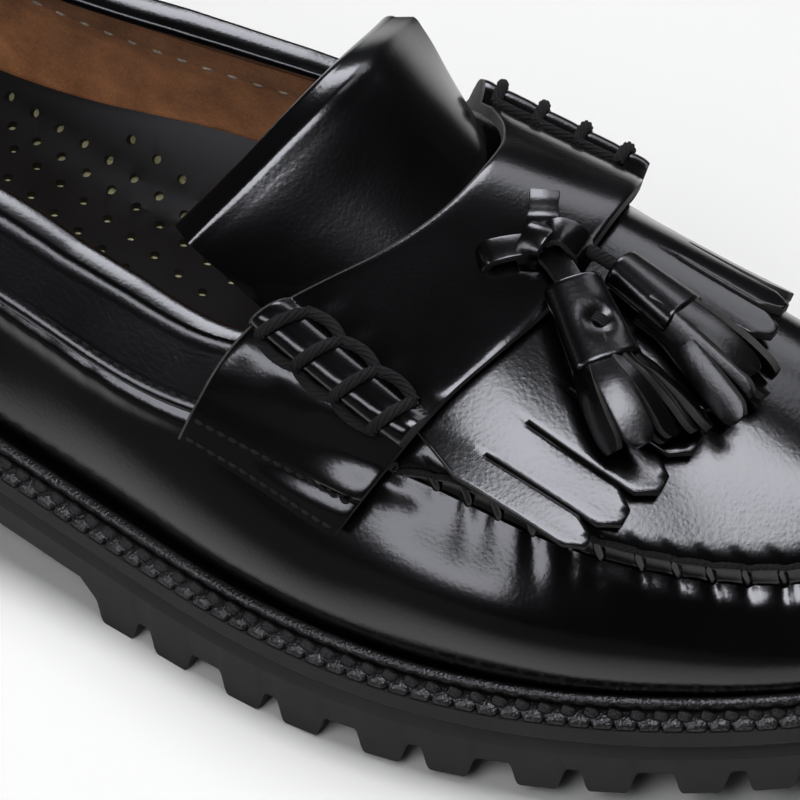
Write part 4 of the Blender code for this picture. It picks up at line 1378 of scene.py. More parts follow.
# Inside
@dataclass
class Insole:
    """Padded footbed with punched holes and its edge turned up at the wall."""

    # distance out from the feather line, height over the sole, share of the arch's climb
    profile: Rows = (
        (-3.0, 0.4, 0.0),
        (-3.9, 9.0, 0.85),
        (-4.4, 10.3, 1.0),
        (-5.3, 9.9, 0.92),
        (-7.5, 7.7, 0.7),
        (-10.5, 6.8, 0.4),
        (-14.0, 6.6, 0.2),
    )
    arch_rise: float = 11.5
    arch_out: float = 2.0
    arch_x: float = -16.0
    arch_reach: float = 36.0
    rows: int = 150
    across: int = 8
    hole_radius: float = 0.95
    hole_depth: float = 1.15
    hole_margin: float = 3.0
    hole_step: float = 4.5
    lattice: Rows = ((5.4, -1.25), (2.5, 5.1))
    lattice_start: Pair = (-38.5, 16.3)
    bank_start: float = 15.0
    bank_share: float = 0.62

    def build(self) -> list[Piece]:
        """Makes the footbed and punches its holes."""
        station = np.linspace(0.0, TOE, self.rows)
        outer = [LAST.outline(station, offset, height) for offset, height, _ in self.profile]
        arch = hump(LAST.outline(ROUND - station, -3.0, 0.0)[:, :1], 1.0, self.arch_x, self.arch_reach)
        climb = self.arch_out * LAST.outward(ROUND - station) + UP * self.arch_rise
        inner = [
            LAST.outline(ROUND - station, offset, height) + share * arch * climb
            for offset, height, share in self.profile
        ]
        across = [
            outer[-1] * (1.0 - share) + inner[-1] * share for share in np.linspace(0, 1, self.across + 2)[1:-1]
        ]
        bm = bmesh.new()
        add_net(bm, np.stack([*outer, *across, *inner[::-1], outer[0]], 1))
        bmesh.ops.dissolve_degenerate(bm, edges=bm.edges, dist=1e-6)
        obj = place_piece("insole_pad", bm, (INSOLE_LEATHER, FOAM), ("insole",))
        self.punch(obj)
        return [obj]

    def hole_places(self) -> list[Pair]:
        """Where the holes are, on a slanted lattice over the middle of the footbed."""
        places = []
        first, second = (np.array(step) for step in self.lattice)
        for row in range(-30, 31):
            for column in range(-30, 31):
                x, across = np.array(self.lattice_start) + row * first + column * second
                bank = max(0.0, across - self.bank_start)
                y = across - bank * (1.0 - self.bank_share)
                width = 1.0 - 0.3 * float(ease(-x, 40.0, 120.0))
                if -118.0 < x < -9.0 and -17.0 * width < y - 0.03 * x < 26.5 * width:
                    places.append((float(x), float(y)))
        return places

    def punch(self, obj: Piece) -> None:
        """Cuts the holes into the footbed.

        Args:
            obj: The footbed.
        """
        ground = Ground([obj])
        bm = bmesh.new()
        for x, y in self.hole_places():
            top = ground.drop(x, y)
            if min(ground.drop(x, y - self.hole_margin), ground.drop(x, y + self.hole_margin)) < top - self.hole_step:
                continue
            up = Vector(ground.normal(np.array([x, y, top])))
            middle = Vector((x, y, top)) + up * 0.5 * (1.0 - self.hole_depth)
            spot = Matrix.Translation(middle * MM) @ up.to_track_quat("Z", "Y").to_matrix().to_4x4()
            deep = (self.hole_depth + 1.0) * MM
            bmesh.ops.create_cone(
                bm, cap_ends=True, segments=12, radius1=0.8 * self.hole_radius * MM,
                radius2=self.hole_radius * MM, depth=deep, matrix=spot,
            )
        for face in bm.faces:
            face.material_index = 1 if len(face.verts) > 4 else 0
        mesh = bpy.data.meshes.new("punches")
        bm.to_mesh(mesh)
        bm.free()
        for material in obj.data.materials:
            mesh.materials.append(material)
        cutter = bpy.data.objects.new("punches", mesh)
        bpy.context.scene.collection.objects.link(cutter)
        cut = obj.modifiers.new("holes", "BOOLEAN")
        cut.object, cut.operation, cut.solver = cutter, "DIFFERENCE", "EXACT"
        bpy.context.view_layer.update()
        graph = bpy.context.evaluated_depsgraph_get()
        punched = bpy.data.meshes.new_from_object(obj.evaluated_get(graph))
        obj.modifiers.clear()
        obj.data = punched
        bpy.data.objects.remove(cutter, do_unlink=True)


@dataclass
class Tongue:
    """Tail of the apron behind the throat, folded over at its rear edge."""

    stations: Pair = (5.75, 13.6)
    columns: int = 110
    thickness: float = 2.0
    fold: float = 2.0
    arch: float = 3.2
    # share of the way to the fold, share of the arch
    crest: Rows = ((0.0, 0.0), (0.45, 0.52), (0.84, 0.97), (0.94, 1.0), (1.0, 0.8))
    throat: float = 1.95
    fold_line: Rows = ((4.4, -30.0, 74.2), (12.8, 0.6, 86.7), (6.9, 30.5, 75.4))

    def build(self) -> list[Piece]:
        """Makes the tongue."""
        station = np.linspace(*self.stations, self.columns)
        _, climb = LAST.normal(station, 1.98)
        root = LAST.point(station, 2.0) + climb * self.throat
        fold = smooth_curve((0.0, 0.5, 1.0), self.fold_line, np.linspace(0.0, 1.0, len(station)))
        run = fold - root
        square = unit(np.cross(np.gradient(fold + root, axis=0), run))
        back = unit(run)
        shares = np.linspace(0.0, 0.95, 30)
        lifts = self.arch * smooth_curve(*zip(*self.crest), shares)
        section = [root + run * share + square * lift for share, lift in zip(shares, lifts)]
        centre = fold - square * 0.5 * self.thickness
        for turn in np.radians(np.linspace(66.0, -90.0, 16)):
            section.append(centre + self.fold * (math.cos(turn) * back + math.sin(turn) * square))
        for share, lift in list(zip(shares, lifts))[::-3]:
            section.append(root + run * share + square * (lift - self.thickness))
        return [net_piece("tongue_flap", [closed(section)], GLOSS_LEATHER, ("tongue",), sharp=60.0)]


# Trim over the instep
@dataclass
class Fringe:
    """Band of leather on the apron, cut into strips towards the toe."""

    # outer edge y, tip x
    strips: Rows = (
        (-38.8, 79.5),
        (-33.4, 82.5),
        (-26.3, 85.0),
        (-18.5, 86.5),
        (-10.5, 87.5),
        (-2.5, 88.0),
        (5.0, 87.5),
        (11.5, 86.0),
        (17.5, 84.0),
        (23.3, 81.0),
    )
    end_y: float = 29.3
    # x, outermost y where a strip still lies on the apron
    apron_edge: Rows = (
        (40.0, -33.8),
        (66.0, -32.6),
        (74.0, -31.0),
        (84.0, -27.0),
        (92.0, -22.0),
    )
    droop: float = 0.42
    slit: float = 0.5
    root_x: float = 45.0
    root_share: float = 0.88
    slit_x: float = 68.8
    slit_sag: float = 8.0
    chamfer: float = 3.2
    tip_lift: float = 0.9
    thickness: float = 1.5
    clearance: float = 0.55
    edge_round: float = 0.3
    edge_angle: float = 50.0
    columns: Values = (0.0, 0.12, 0.3, 0.5, 0.7, 0.88, 1.0)
    band_rows: int = 7
    strip_rows: int = 12

    def build(self, under: Sequence[Piece]) -> list[Piece]:
        """Makes the fringe.

        Args:
            under: Pieces that it lies on.

        Returns:
            The piece.
        """
        ground = Ground(under)
        edges = [row[0] for row in self.strips] + [self.end_y]
        columns = []
        for (left, tip), after in zip(self.strips, edges[1:]):
            for share in self.columns:
                chamfer = self.chamfer * float(np.clip(1.0 - min(share, 1.0 - share) / 0.3, 0.0, 1.0))
                crown = 1.0 - (2.0 * share - 1.0) ** 4
                columns.append((left + (after - self.slit - left) * share, tip - chamfer, crown))
        rows = self.band_rows + self.strip_rows
        bm = bmesh.new()
        bmesh.ops.create_grid(bm, x_segments=rows - 1, y_segments=len(columns) - 1, size=0.5)
        slits = []
        for face in bm.faces:
            middle = face.calc_center_median()
            column = int((middle.y + 0.5) * (len(columns) - 1))
            row = int((middle.x + 0.5) * (rows - 1))
            if (column + 1) % len(self.columns) == 0 and row >= self.band_rows - 1:
                slits.append(face)
        for vert in bm.verts:
            row = round((vert.co.x + 0.5) * (rows - 1))
            vert.co = self.point(ground, row, *columns[round((vert.co.y + 0.5) * (len(columns) - 1))])
        bmesh.ops.delete(bm, geom=slits, context="FACES")
        bmesh.ops.recalc_face_normals(bm, faces=bm.faces)
        bm.faces.ensure_lookup_table()
        if bm.faces[0].normal.z < 0.0:
            bmesh.ops.reverse_faces(bm, faces=bm.faces)
        obj = place_piece("fringe", bm, (GLOSS_LEATHER, CUT_EDGE), ("kiltie",), recalc=False)
        shell = obj.modifiers.new("thickness", "SOLIDIFY")
        shell.thickness, shell.offset = self.thickness * MM, 1.0
        shell.material_offset_rim = 1
        soften_edges(obj, self.edge_round, self.edge_angle)
        return [obj]

    def point(self, ground: Ground, row: int, y: float, end: float, crown: float) -> Vector:
        """A point of the fringe.

        Args:
            ground: What it lies on.
            row: First the rows of the band, then those of the strips.
            y: Place across.
            end: Where the strip's tip ends here, as x.
            crown: 1 in the middle of a strip, 0 at its edges.

        Returns:
            The point in metres.
        """
        half = 0.5 * (self.end_y - self.strips[0][0])
        slit = self.slit_x - self.slit_sag * ((y - ground.axis_y) / half) ** 2
        if row < self.band_rows:
            share = row / (self.band_rows - 1)
            x, lift = self.root_x + (slit - self.root_x) * share, 0.0
            y = ground.axis_y + (y - ground.axis_y) * (self.root_share + (1.0 - self.root_share) * share)
        else:
            share = (row - self.band_rows + 1) / self.strip_rows
            x = slit + (end - slit) * share
            lift = self.tip_lift * share**2 + 0.25 * (crown - 1.0) * share
        over = max(0.0, float(np.interp(x, *zip(*self.apron_edge))) - y)
        return Vector((x, y, ground.lying(x, y + over) - self.droop * over + self.clearance + lift)) * MM


@dataclass
class SaddleStrap:
    """Strap over the instep with a laced roll on each side."""

    thickness: float = 1.9
    clearance: float = 0.7
    roll_height: float = 3.5
    roll_half_width: float = 3.1
    roll_radius: float = 45.0
    wraps: Values = (0.12, 0.37, 0.62, 0.87)
    wrap_skew: float = 0.035
    wrap_dip: float = 0.06
    squeeze_width: float = 0.04
    pucker: float = 0.22
    pucker_width: float = 0.07
    swell: float = 1.5
    swell_start: float = 71.0
    end_tilt: float = 0.7
    roll_ridge: float = 0.7
    ridge_start: Pair = (42.0, 54.0)
    ridge_end: Pair = (59.0, 74.0)
    rim_drop: float = 0.4
    easing: float = 5.0
    end_slant: float = 5.0
    slant: Pair = (62.0, 88.0)
    # angle from upright about the strap's axis, rear edge x, front edge x
    edges: Rows = (
        (-85.9, 11.0, 41.0),
        (-55.0, 18.5, 52.5),
        (-30.0, 32.0, 58.5),
        (0.0, 37.5, 59.5),
        (28.0, 33.0, 57.5),
        (50.0, 20.5, 53.0),
        (85.9, 13.0, 42.0),
    )
    # angle of each roll at the rear edge and at the front edge
    rolls: tuple[tuple[Side, float, float], ...] = ((Side.OUTER, -51.0, -62.0), (Side.INNER, 48.0, 49.0))
    # angle where a stretch of the strap ends, rows in it
    stretches: tuple[tuple[float, int], ...] = ((-70.0, 36), (-42.0, 80), (42.0, 90), (57.0, 46), (85.9, 40))
    fine_shares: int = 78
    thread_radius: float = 1.0
    stitch_angles: Pair = (79.3, 84.3)
    stitch_pitch: float = 1.95

    def build(self, under: Sequence[Piece]) -> list[Piece]:
        """Makes the strap, the threads of its rolls and the stitches of its ends.

        Args:
            under: Pieces that it lies on.

        Returns:
            The pieces.
        """
        strap = self.build_strap(under)
        ground = Ground([strap])
        pieces = [self.build_lacing(ground, *roll) for roll in self.rolls]
        return [strap, *pieces, self.build_stitches(ground)]

    def span(self, angle: Net | float) -> tuple[Net, Net]:
        """Rear and front edge of the strap, as x, at these angles."""
        places = [row[0] for row in self.edges]
        return tuple(smooth_curve(places, [row[column] for row in self.edges], angle) for column in (1, 2))

    def lean(self, angle: Net, share: Net) -> Net:
        """Angle of a point of the strap, whose ends slant down to the front."""
        slant = self.end_slant * np.sign(angle) * ease(np.abs(angle), *self.slant)
        return angle + slant * (share - 0.5)

    def place(self, angle: float, share: float) -> Pair:
        """x and true angle of a place on the strap, share 0 at its rear edge and 1 at its front edge."""
        rear, front = self.span(angle)
        return float(rear + (front - rear) * share), float(self.lean(np.array(angle), np.array(share)))

    def rise(self, angle: Net, share: Net) -> Net:
        """How far the strap stands up at its rolls, with puckers beside them and a swell over its sewn ends."""
        low = np.abs(angle)
        sewn = self.stitch_angles[0]
        rise = self.swell * ease(low, self.swell_start, sewn - 0.5) * (1.0 - 0.75 * ease(low, sewn - 0.5, sewn + 1.0))
        rise = rise * (0.05 + 0.95 * ease(share, 0.6, 0.95))
        rise = rise + self.end_tilt * ease(low, sewn + 0.5, self.stitch_angles[1] - 0.5) * ease(share, 0.3, 0.8)
        rise = rise + self.roll_ridge * ease(low, *self.ridge_start) * (1.0 - ease(low, *self.ridge_end))
        for _, rear, front in self.rolls:
            middle = rear + (front - rear) * share
            away = np.radians(angle - middle) * self.roll_radius / self.roll_half_width
            squeeze, pucker = np.zeros_like(rise), np.zeros_like(rise)
            for wrap in self.wraps:
                squeeze = squeeze + hump(share - wrap, 1.0, self.wrap_skew * away, self.squeeze_width)
                pucker = pucker + hump(share - wrap, 1.0, self.wrap_skew * np.sign(away), self.pucker_width)
            round_top = np.sqrt(np.clip(1.0 - away**2, 0.0, None))
            rise = rise + self.roll_height * round_top * (1.0 - self.wrap_dip * squeeze)
            rise = rise + self.pucker * pucker * hump(np.abs(away), 1.0, 1.8, 0.7)
        return rise

    def build_strap(self, under: Sequence[Piece]) -> Piece:
        """The strap itself.

        Args:
            under: Pieces that it lies on.

        Returns:
            The piece.
        """
        ground = Ground(under)
        angles = np.linspace(self.edges[0][0], self.edges[-1][0], 45)
        shares = np.linspace(0.0, 1.0, 9)
        rear, front = self.span(angles)
        xs = rear[:, None] + (front - rear)[:, None] * shares
        lean = self.lean(angles[:, None], shares[None, :])
        floor = np.array([[ground.reach(x, angle) for x, angle in zip(*row)] for row in zip(xs, lean)])
        level = shares - shares.mean()
        slope = floor @ level / np.sum(level**2)
        blur = np.exp(-0.5 * ((angles[:, None] - angles) / self.easing) ** 2)
        blur /= blur.sum(1, keepdims=True)
        bed = blur @ (floor.mean(1)[:, None] + slope[:, None] * level)
        short = np.clip(floor - bed, 0.0, None).max(1)
        bed = bed + (blur @ np.maximum.reduce([np.roll(short, step) for step in (-2, -1, 0, 1, 2)]))[:, None]
        ends = [angles[0], *(end for end, _ in self.stretches)]
        parts = [np.linspace(a, b, rows, endpoint=False) for a, (b, rows) in zip(ends, self.stretches)]
        fine = np.concatenate([*parts, angles[-1:]])
        across = np.linspace(0.0, 1.0, self.fine_shares)
        bed = smooth_curve(angles, bed, fine)
        bed = smooth_curve(shares, bed.T, across).T
        rear, front = self.span(fine)
        xs = rear[:, None] + (front - rear)[:, None] * across
        lean = self.lean(fine[:, None], across[None, :])
        low = bed + self.clearance
        high = low + self.thickness + self.rise(lean, np.broadcast_to(across, lean.shape))
        high = high - self.rim_drop * (np.exp(-across * 40.0) + np.exp(-(1.0 - across) * 40.0))
        turn = np.radians(lean)
        spokes = np.stack([np.zeros_like(turn), np.sin(turn), np.cos(turn)], -1)
        base = np.stack([xs, np.full_like(xs, ground.axis_y), np.full_like(xs, ground.axis_z)], -1)
        upper, lower = base + spokes * high[..., None], base + spokes * low[..., None]
        coarse = list(range(0, self.fine_shares, 11))
        net = np.concatenate([upper, lower[:, coarse[::-1]], upper[:, :1]], 1)
        pared = {0: 1, self.fine_shares - 1: 1, net.shape[1] - 2: 1}
        finishes = (GLOSS_LEATHER, PARED_EDGE)
        return net_piece("instep_strap", [net], finishes, ("saddle_strap",), 45.0, pared)

    def build_lacing(self, ground: Ground, side: Side, rear: float, front: float) -> Piece:
        """The thick twisted thread that runs along a roll on both sides and wraps over it.

        Args:
            ground: The strap.
            side: Side of the shoe.
            rear: Angle of the roll at the strap's rear edge.
            front: Its angle at the front edge.

        Returns:
            The piece.
        """
        half = math.degrees((self.roll_half_width + 0.4 * self.thread_radius) / self.roll_radius)
        lines = []
        for edge in (-1.0, 1.0):
            shares = [wrap + self.wrap_skew * edge for wrap in self.wraps]
            shares = np.interp(np.linspace(0.0, len(shares) - 1.0, 16), np.arange(len(shares)), shares)
            bows = 0.9 * np.abs(np.sin(np.pi * np.linspace(0.0, len(self.wraps) - 1.0, 16)))
            lines.append(
                [(share, rear + (front - rear) * share + (half + bow) * edge) for share, bow in zip(shares, bows)]
            )
        for wrap in self.wraps:
            steps = np.linspace(-1.0, 1.0, 13)
            lines.append(
                [(wrap + self.wrap_skew * step, rear + (front - rear) * wrap + half * step) for step in steps]
            )
        nets = []
        for line in lines:
            spots = [self.place(angle, float(np.clip(share, 0.01, 0.99))) for share, angle in line]
            points = np.array([ground.on_strap(x, angle, 0.55 * self.thread_radius) for x, angle in spots])
            line = even_line(points, 0.5)
            up = np.array([ground.normal(point) for point in line])
            nets += twisted(line, up, self.thread_radius, 9.0, strands=6)
        return net_piece(f"roll_lacing_{side.name.lower()}", nets, THREAD)

    def build_stitches(self, ground: Ground) -> Piece:
        """Two rows of stitches over each end of the strap."""
        nets = []
        for side in Side:
            for row in self.stitch_angles:
                rear, front = self.span(row * side.value)
                count = int((front - rear) / self.stitch_pitch)
                for number in range(1, count):
                    shares = (number + np.linspace(-0.36, 0.36, 4)) / count
                    spots = [self.place(row * side.value, share) for share in shares]
                    line = np.array([ground.on_strap(*spot, 0.1) for spot in spots])
                    up = ground.normal(line[1])
                    line[[0, -1]] -= up * 0.3
                    nets.append(tube(line, np.tile(up, (4, 1)), 0.38 * bead_share(4), 0.3, 6))
        return net_piece("strap_stitches", nets, THREAD)


# Columns of a square tube's side faces, which show the cut edge of the leather
CUT_SIDES = {0: 1, 5: 1, 6: 1, 11: 1}


def ribbon(line: Net, up: Net, half_width: Net | float, half_thickness: float) -> Net:
    """Net of a flat leather thong along a line."""
    return tube(line, up, half_width, half_thickness, 12, power=7.0)


@dataclass
class Tassel:
    """Rolled leather sleeve with a skirt of cut strips.

    Attributes:
        name: Piece name.
        node: Solid that it stands for.
        rim: Middle of the sleeve's lower rim, before it is set down.
        along: From the knot to the skirt.
        across: Over the sleeve's flat side, to the inner side.
        length: Length of the sleeve.
        half_widths: Half the sleeve's width at the knot and at the rim.
        half_heights: Half its height there.
        strips: Across and up at the rim, across, up and length at the tip, and the turn of its face in degrees.
        dimple: Place of the sewn dimple, along from the rim and across, if it has one.
    """

    name: str
    node: str
    rim: Triple
    along: Triple
    across: Triple
    length: float
    half_widths: Pair
    half_heights: Pair
    strips: Rows
    dimple: Pair | None = None
    dimple_depth: float = 1.15
    dimple_size: float = 2.1
    strip_half: float = 2.6
    strip_thickness: float = 1.4
    strip_bow: float = 0.5
    leather: float = 1.2
    clearance: float = 0.25
    toward_camera: Triple = (0.377, -0.627, 0.682)

    def build(self, under: Sequence[Piece]) -> list[Piece]:
        """Makes the tassel and sets it down.

        Args:
            under: Pieces that it lies on.

        Returns:
            The piece.
        """
        self.u = unit(np.array(self.along))
        self.w = np.array(self.across) - self.u * float(np.dot(self.across, self.u))
        self.w = unit(self.w)
        self.t = np.cross(self.u, self.w)
        self.middle = np.array(self.rim)
        nets = [self.sleeve_net(), *(self.strip_net(*row) for row in self.strips)]
        self.set_down(Ground(under), nets)
        bm = bmesh.new()
        add_net(bm, nets[0])
        for net in nets[1:]:
            add_net(bm, net, bands=CUT_SIDES)
        for net in self.dimple_threads():
            add_net(bm, net, material=2)
        finishes = (TASSEL_LEATHER, CUT_EDGE, THREAD)
        return [place_piece(self.name, bm, finishes, (self.node,), sharp=50.0)]

    def local(self, u: Net | float, w: Net | float, t: Net | float) -> Net:
        """A point given along, across and up from the middle of the rim."""
        u, w, t = (np.asarray(value, float)[..., None] for value in np.broadcast_arrays(u, w, t))
        return self.middle + u * self.u + w * self.w + t * self.t

    def set_down(self, ground: Ground, nets: list[Net]) -> None:
        """Moves the tassel along the line of sight until it just lies on what is under it.

        Args:
            ground: What is under it.
            nets: Its nets, moved in place.
        """
        sight = np.array(self.toward_camera)
        for _ in range(6):
            gap = min(z - ground.drop(x, y) for net in nets for x, y, z in net.reshape(-1, 3)[::3])
            step = sight * (self.clearance - gap) / 0.95
            self.middle = self.middle + step
            for net in nets:
                net += step

    def knot(self) -> Net:
        """Middle of the sleeve's upper rim."""
        return self.local(-self.length, 0.0, 0.0)

    def sleeve_net(self) -> Net:
        """Net of the sleeve, a flattened roll with cut rims and a sewn dimple."""
        inner = 1.0 - self.leather / self.half_heights[0]
        rows = [(1.0, 0.3), (1.0, inner), (0.0, inner), (0.0, 0.94), (0.25, 1.0)]
        rows += [(depth, 1.0) for depth in np.linspace(0.8, self.length - 0.8, 26)]
        rows += [(self.length - 0.25, 1.0), (self.length, 0.94), (self.length, inner), (self.length - 2.0, inner)]
        turns = np.linspace(0.0, 2.0 * np.pi, 57)
        net = []
        for depth, scale in rows:
            share = depth / self.length
            wide, high = (start + (end - start) * share for start, end in (self.half_widths, self.half_heights))
            cos, sin = np.cos(turns), np.sin(turns)
            w = scale * wide * np.sign(cos) * np.abs(cos) ** 0.8
            t = scale * high * np.sign(sin) * np.abs(sin) ** 0.8
            u = np.full_like(w, depth - self.length)
            net.append(self.local(u, w, t - self.dent(u, w, t)))
        net = np.array(net)
        net[:, -1] = net[:, 0]
        return net

    def dent(self, u: Net, w: Net, t: Net) -> Net:
        """How far the dimple is pulled in at these places."""
        if self.dimple is None:
            return np.zeros_like(w)
        away = ((u - self.dimple[0]) ** 2 + (w - self.dimple[1]) ** 2) / self.dimple_size**2
        return self.dimple_depth * np.exp(-away) * (t > 0.0)

    def dimple_threads(self) -> list[Net]:
        """Nets of the stitches at the bottom of the dimple."""
        if self.dimple is None:
            return []
        nets = []
        high = self.half_heights[0] - self.dimple_depth + 0.55
        for shift in (-0.66, -0.22, 0.22, 0.66):
            along = np.linspace(-1.15, 1.15, 7)
            u, w = self.dimple[0] + 0.8 * along - 0.6 * shift, self.dimple[1] + 0.6 * along + 0.8 * shift
            line = self.local(u, w, high - 0.35 * np.abs(along) ** 2 + 0.25)
            nets.append(tube(line, np.tile(self.t, (7, 1)), 0.27, 0.27, 6))
        return nets

    def strip_net(self, w0: float, t0: float, w1: float, t1: float, reach: float, turn: float) -> Net:
        """Net of one strip of the skirt, with a clipped tip.

        Args:
            w0: Place across where it leaves the sleeve.
            t0: Place up there.
            w1: Place across of its tip.
            t1: Place up of its tip.
            reach: How far its tip lies from the rim.
            turn: Turn of its face about its length, in degrees.

        Returns:
            The net.
        """
        angle = math.radians(turn)
        face = math.sin(angle) * self.w + math.cos(angle) * self.t
        shares = np.array([-0.3, 0.0, 0.3, 0.65, 1.0])
        bow = self.strip_bow * np.array([0.0, 0.1, 1.0, 1.0, 0.0])[:, None]
        hold = np.clip(shares, 0.0, 1.0)
        points = self.local(reach * shares, w0 + (w1 - w0) * hold, t0 + (t1 - t0) * hold**1.6) + bow * face
        line = even_line(points, 0.8)
        line = np.concatenate([line, line[-1:] + (line[-1:] - line[-2:-1]) * 0.4])
        half = np.full(len(line), self.strip_half)
        half[-4:] *= (0.97, 0.86, 0.66, 0.5)
        return ribbon(line, np.tile(face, (len(line), 1)), half, 0.5 * self.strip_thickness)


@dataclass
class Tie:
    """Flat thong that comes out of a slot in the strap, is knotted, and holds the tassels."""

    half_width: float = 2.1
    half_thickness: float = 0.75
    thong_bow: float = 0.6
    cord_radius: float = 1.2
    cord_pitch: float = 4.2
    cord_bow: float = 0.7
    held: float = 1.5
    # x, angle about the strap's axis, height over the strap, half width
    loop: Rows = (
        (46.8, -21.4, -2.0, 1.9),
        (46.7, -21.7, 0.2, 2.0),
        (47.4, -20.6, 1.6, 2.1),
        (48.9, -18.6, 2.0, 2.1),
        (50.6, -16.2, 1.9, 2.1),
        (52.4, -13.8, 1.6, 2.1),
        (54.0, -11.5, 1.2, 2.0),
    )
    upper_end: Rows = (
        (53.8, -13.0, 0.4, 2.2),
        (53.4, -11.0, 2.2, 2.4),
        (52.4, -8.0, 3.3, 2.5),
        (51.3, -4.5, 2.6, 2.3),
        (50.1, -1.0, 1.7, 2.3),
        (49.0, 2.4, 1.3, 2.4),
    )
    band: Rows = (
        (53.4, -18.0, 0.0, 1.6),
        (52.9, -16.4, 2.6, 1.9),
        (53.2, -13.4, 4.0, 2.0),
        (53.4, -10.6, 3.8, 2.0),
        (53.2, -8.4, 2.0, 1.9),
        (53.0, -7.8, 0.0, 1.6),
    )
    tail: Rows = (
        (53.8, -11.4, 2.6, 1.8),
        (55.2, -10.0, 4.0, 2.3),
        (57.2, -9.0, 3.9, 2.5),
        (60.0, -9.0, 2.4, 2.4),
    )
    cord_start: Triple = (55.4, -9.6, 1.9)
    strap_start: Triple = (54.4, -13.0, 1.2)

    def build(self, under: Sequence[Piece], outer: Tassel, inner: Tassel) -> list[Piece]:
        """Makes the thong, its knot and what holds the tassels.

        Args:
            under: Strap, fringe and apron.
            outer: Tassel on the outer side.
            inner: Tassel on the inner side.

        Returns:
            The piece.
        """
        ground = Ground(under)
        bm = bmesh.new()
        for rows in (self.loop, self.upper_end, self.band, self.tail):
            rows = smooth_curve(np.arange(len(rows)), rows, np.linspace(0.0, len(rows) - 1, 8 * len(rows)))
            line = np.array([ground.on_strap(*row[:3]) for row in rows])
            up = np.array([ground.spoke(0.0, row[1], 1.0) - ground.spoke(0.0, row[1], 0.0) for row in rows])
            add_net(bm, ribbon(line, up, rows[:, 3], self.half_thickness), bands=CUT_SIDES)
        line = even_line(self.hold(ground.on_strap(*self.strap_start), outer, self.thong_bow, 0.3), 0.8)
        up = np.tile(outer.t, (len(line), 1))
        add_net(bm, ribbon(line, up, self.half_width, self.half_thickness), bands=CUT_SIDES)
        line = even_line(self.hold(ground.on_strap(*self.cord_start), inner, self.cord_bow, 0.0), 0.4)
        for net in twisted(line, np.tile(UP, (len(line), 1)), self.cord_radius, self.cord_pitch, strands=5):
            add_net(bm, net, material=2)
        finishes = (TASSEL_LEATHER, CUT_EDGE, THREAD)
        return [place_piece("tie_thong", bm, finishes, ("tie",), sharp=50.0)]

    def hold(self, start: Net, tassel: Tassel, bow: float, up: float) -> Net:
        """Points from the knot into the sleeve of a tassel.

        Args:
            start: Where they leave the knot.
            tassel: The tassel.
            bow: How far they bow up on the way.
            up: Place up inside the sleeve.

        Returns:
            Three points.
        """
        end = tassel.local(self.held - tassel.length, 0.0, up)
        return np.array([start, 0.5 * (start + tassel.knot()) + UP * bow, end])


OUTER_TASSEL = Tassel(
    name="tassel_outer",
    node="tassel_near",
    rim=(71.1, -16.4, 67.8),
    along=(10.4, -7.7, -5.2),
    across=(0.613, 0.787, 0.07),
    length=14.6,
    half_widths=(4.6, 5.6),
    half_heights=(2.7, 3.0),
    strips=(
        (0.0, -1.6, -1.5, -3.4, 12.0, 0.0),
        (2.6, -1.4, 5.0, -3.6, 13.0, 20.0),
        (4.3, -0.6, 11.6, -3.4, 13.2, 62.0),
        (3.9, 0.4, 9.4, -2.6, 13.1, 45.0),
        (-3.9, -0.2, -3.9, -2.4, 12.6, -68.0),
        (2.4, 1.3, 5.6, -1.6, 13.2, 26.0),
        (-1.3, 1.7, 0.0, 0.0, 13.9, -4.0),
    ),
    dimple=(-6.6, 1.2),
)
INNER_TASSEL = Tassel(
    name="tassel_inner",
    node="tassel_far",
    rim=(76.7, -2.5, 69.6),
    along=(12.0, -2.0, -2.8),
    across=(0.12, 0.94, -0.28),
    length=12.8,
    half_widths=(3.7, 5.0),
    half_heights=(2.9, 3.1),
    strips=(
        (0.2, -1.6, 1.3, -3.0, 17.0, 10.0),
        (-3.2, -1.4, -6.6, -4.2, 17.5, -78.0),
        (-3.7, -0.4, -3.6, -2.2, 16.4, -80.0),
        (2.6, 0.4, 4.4, -1.0, 15.8, 62.0),
        (-1.2, 1.8, -1.1, 0.4, 14.4, -8.0),
    ),
)


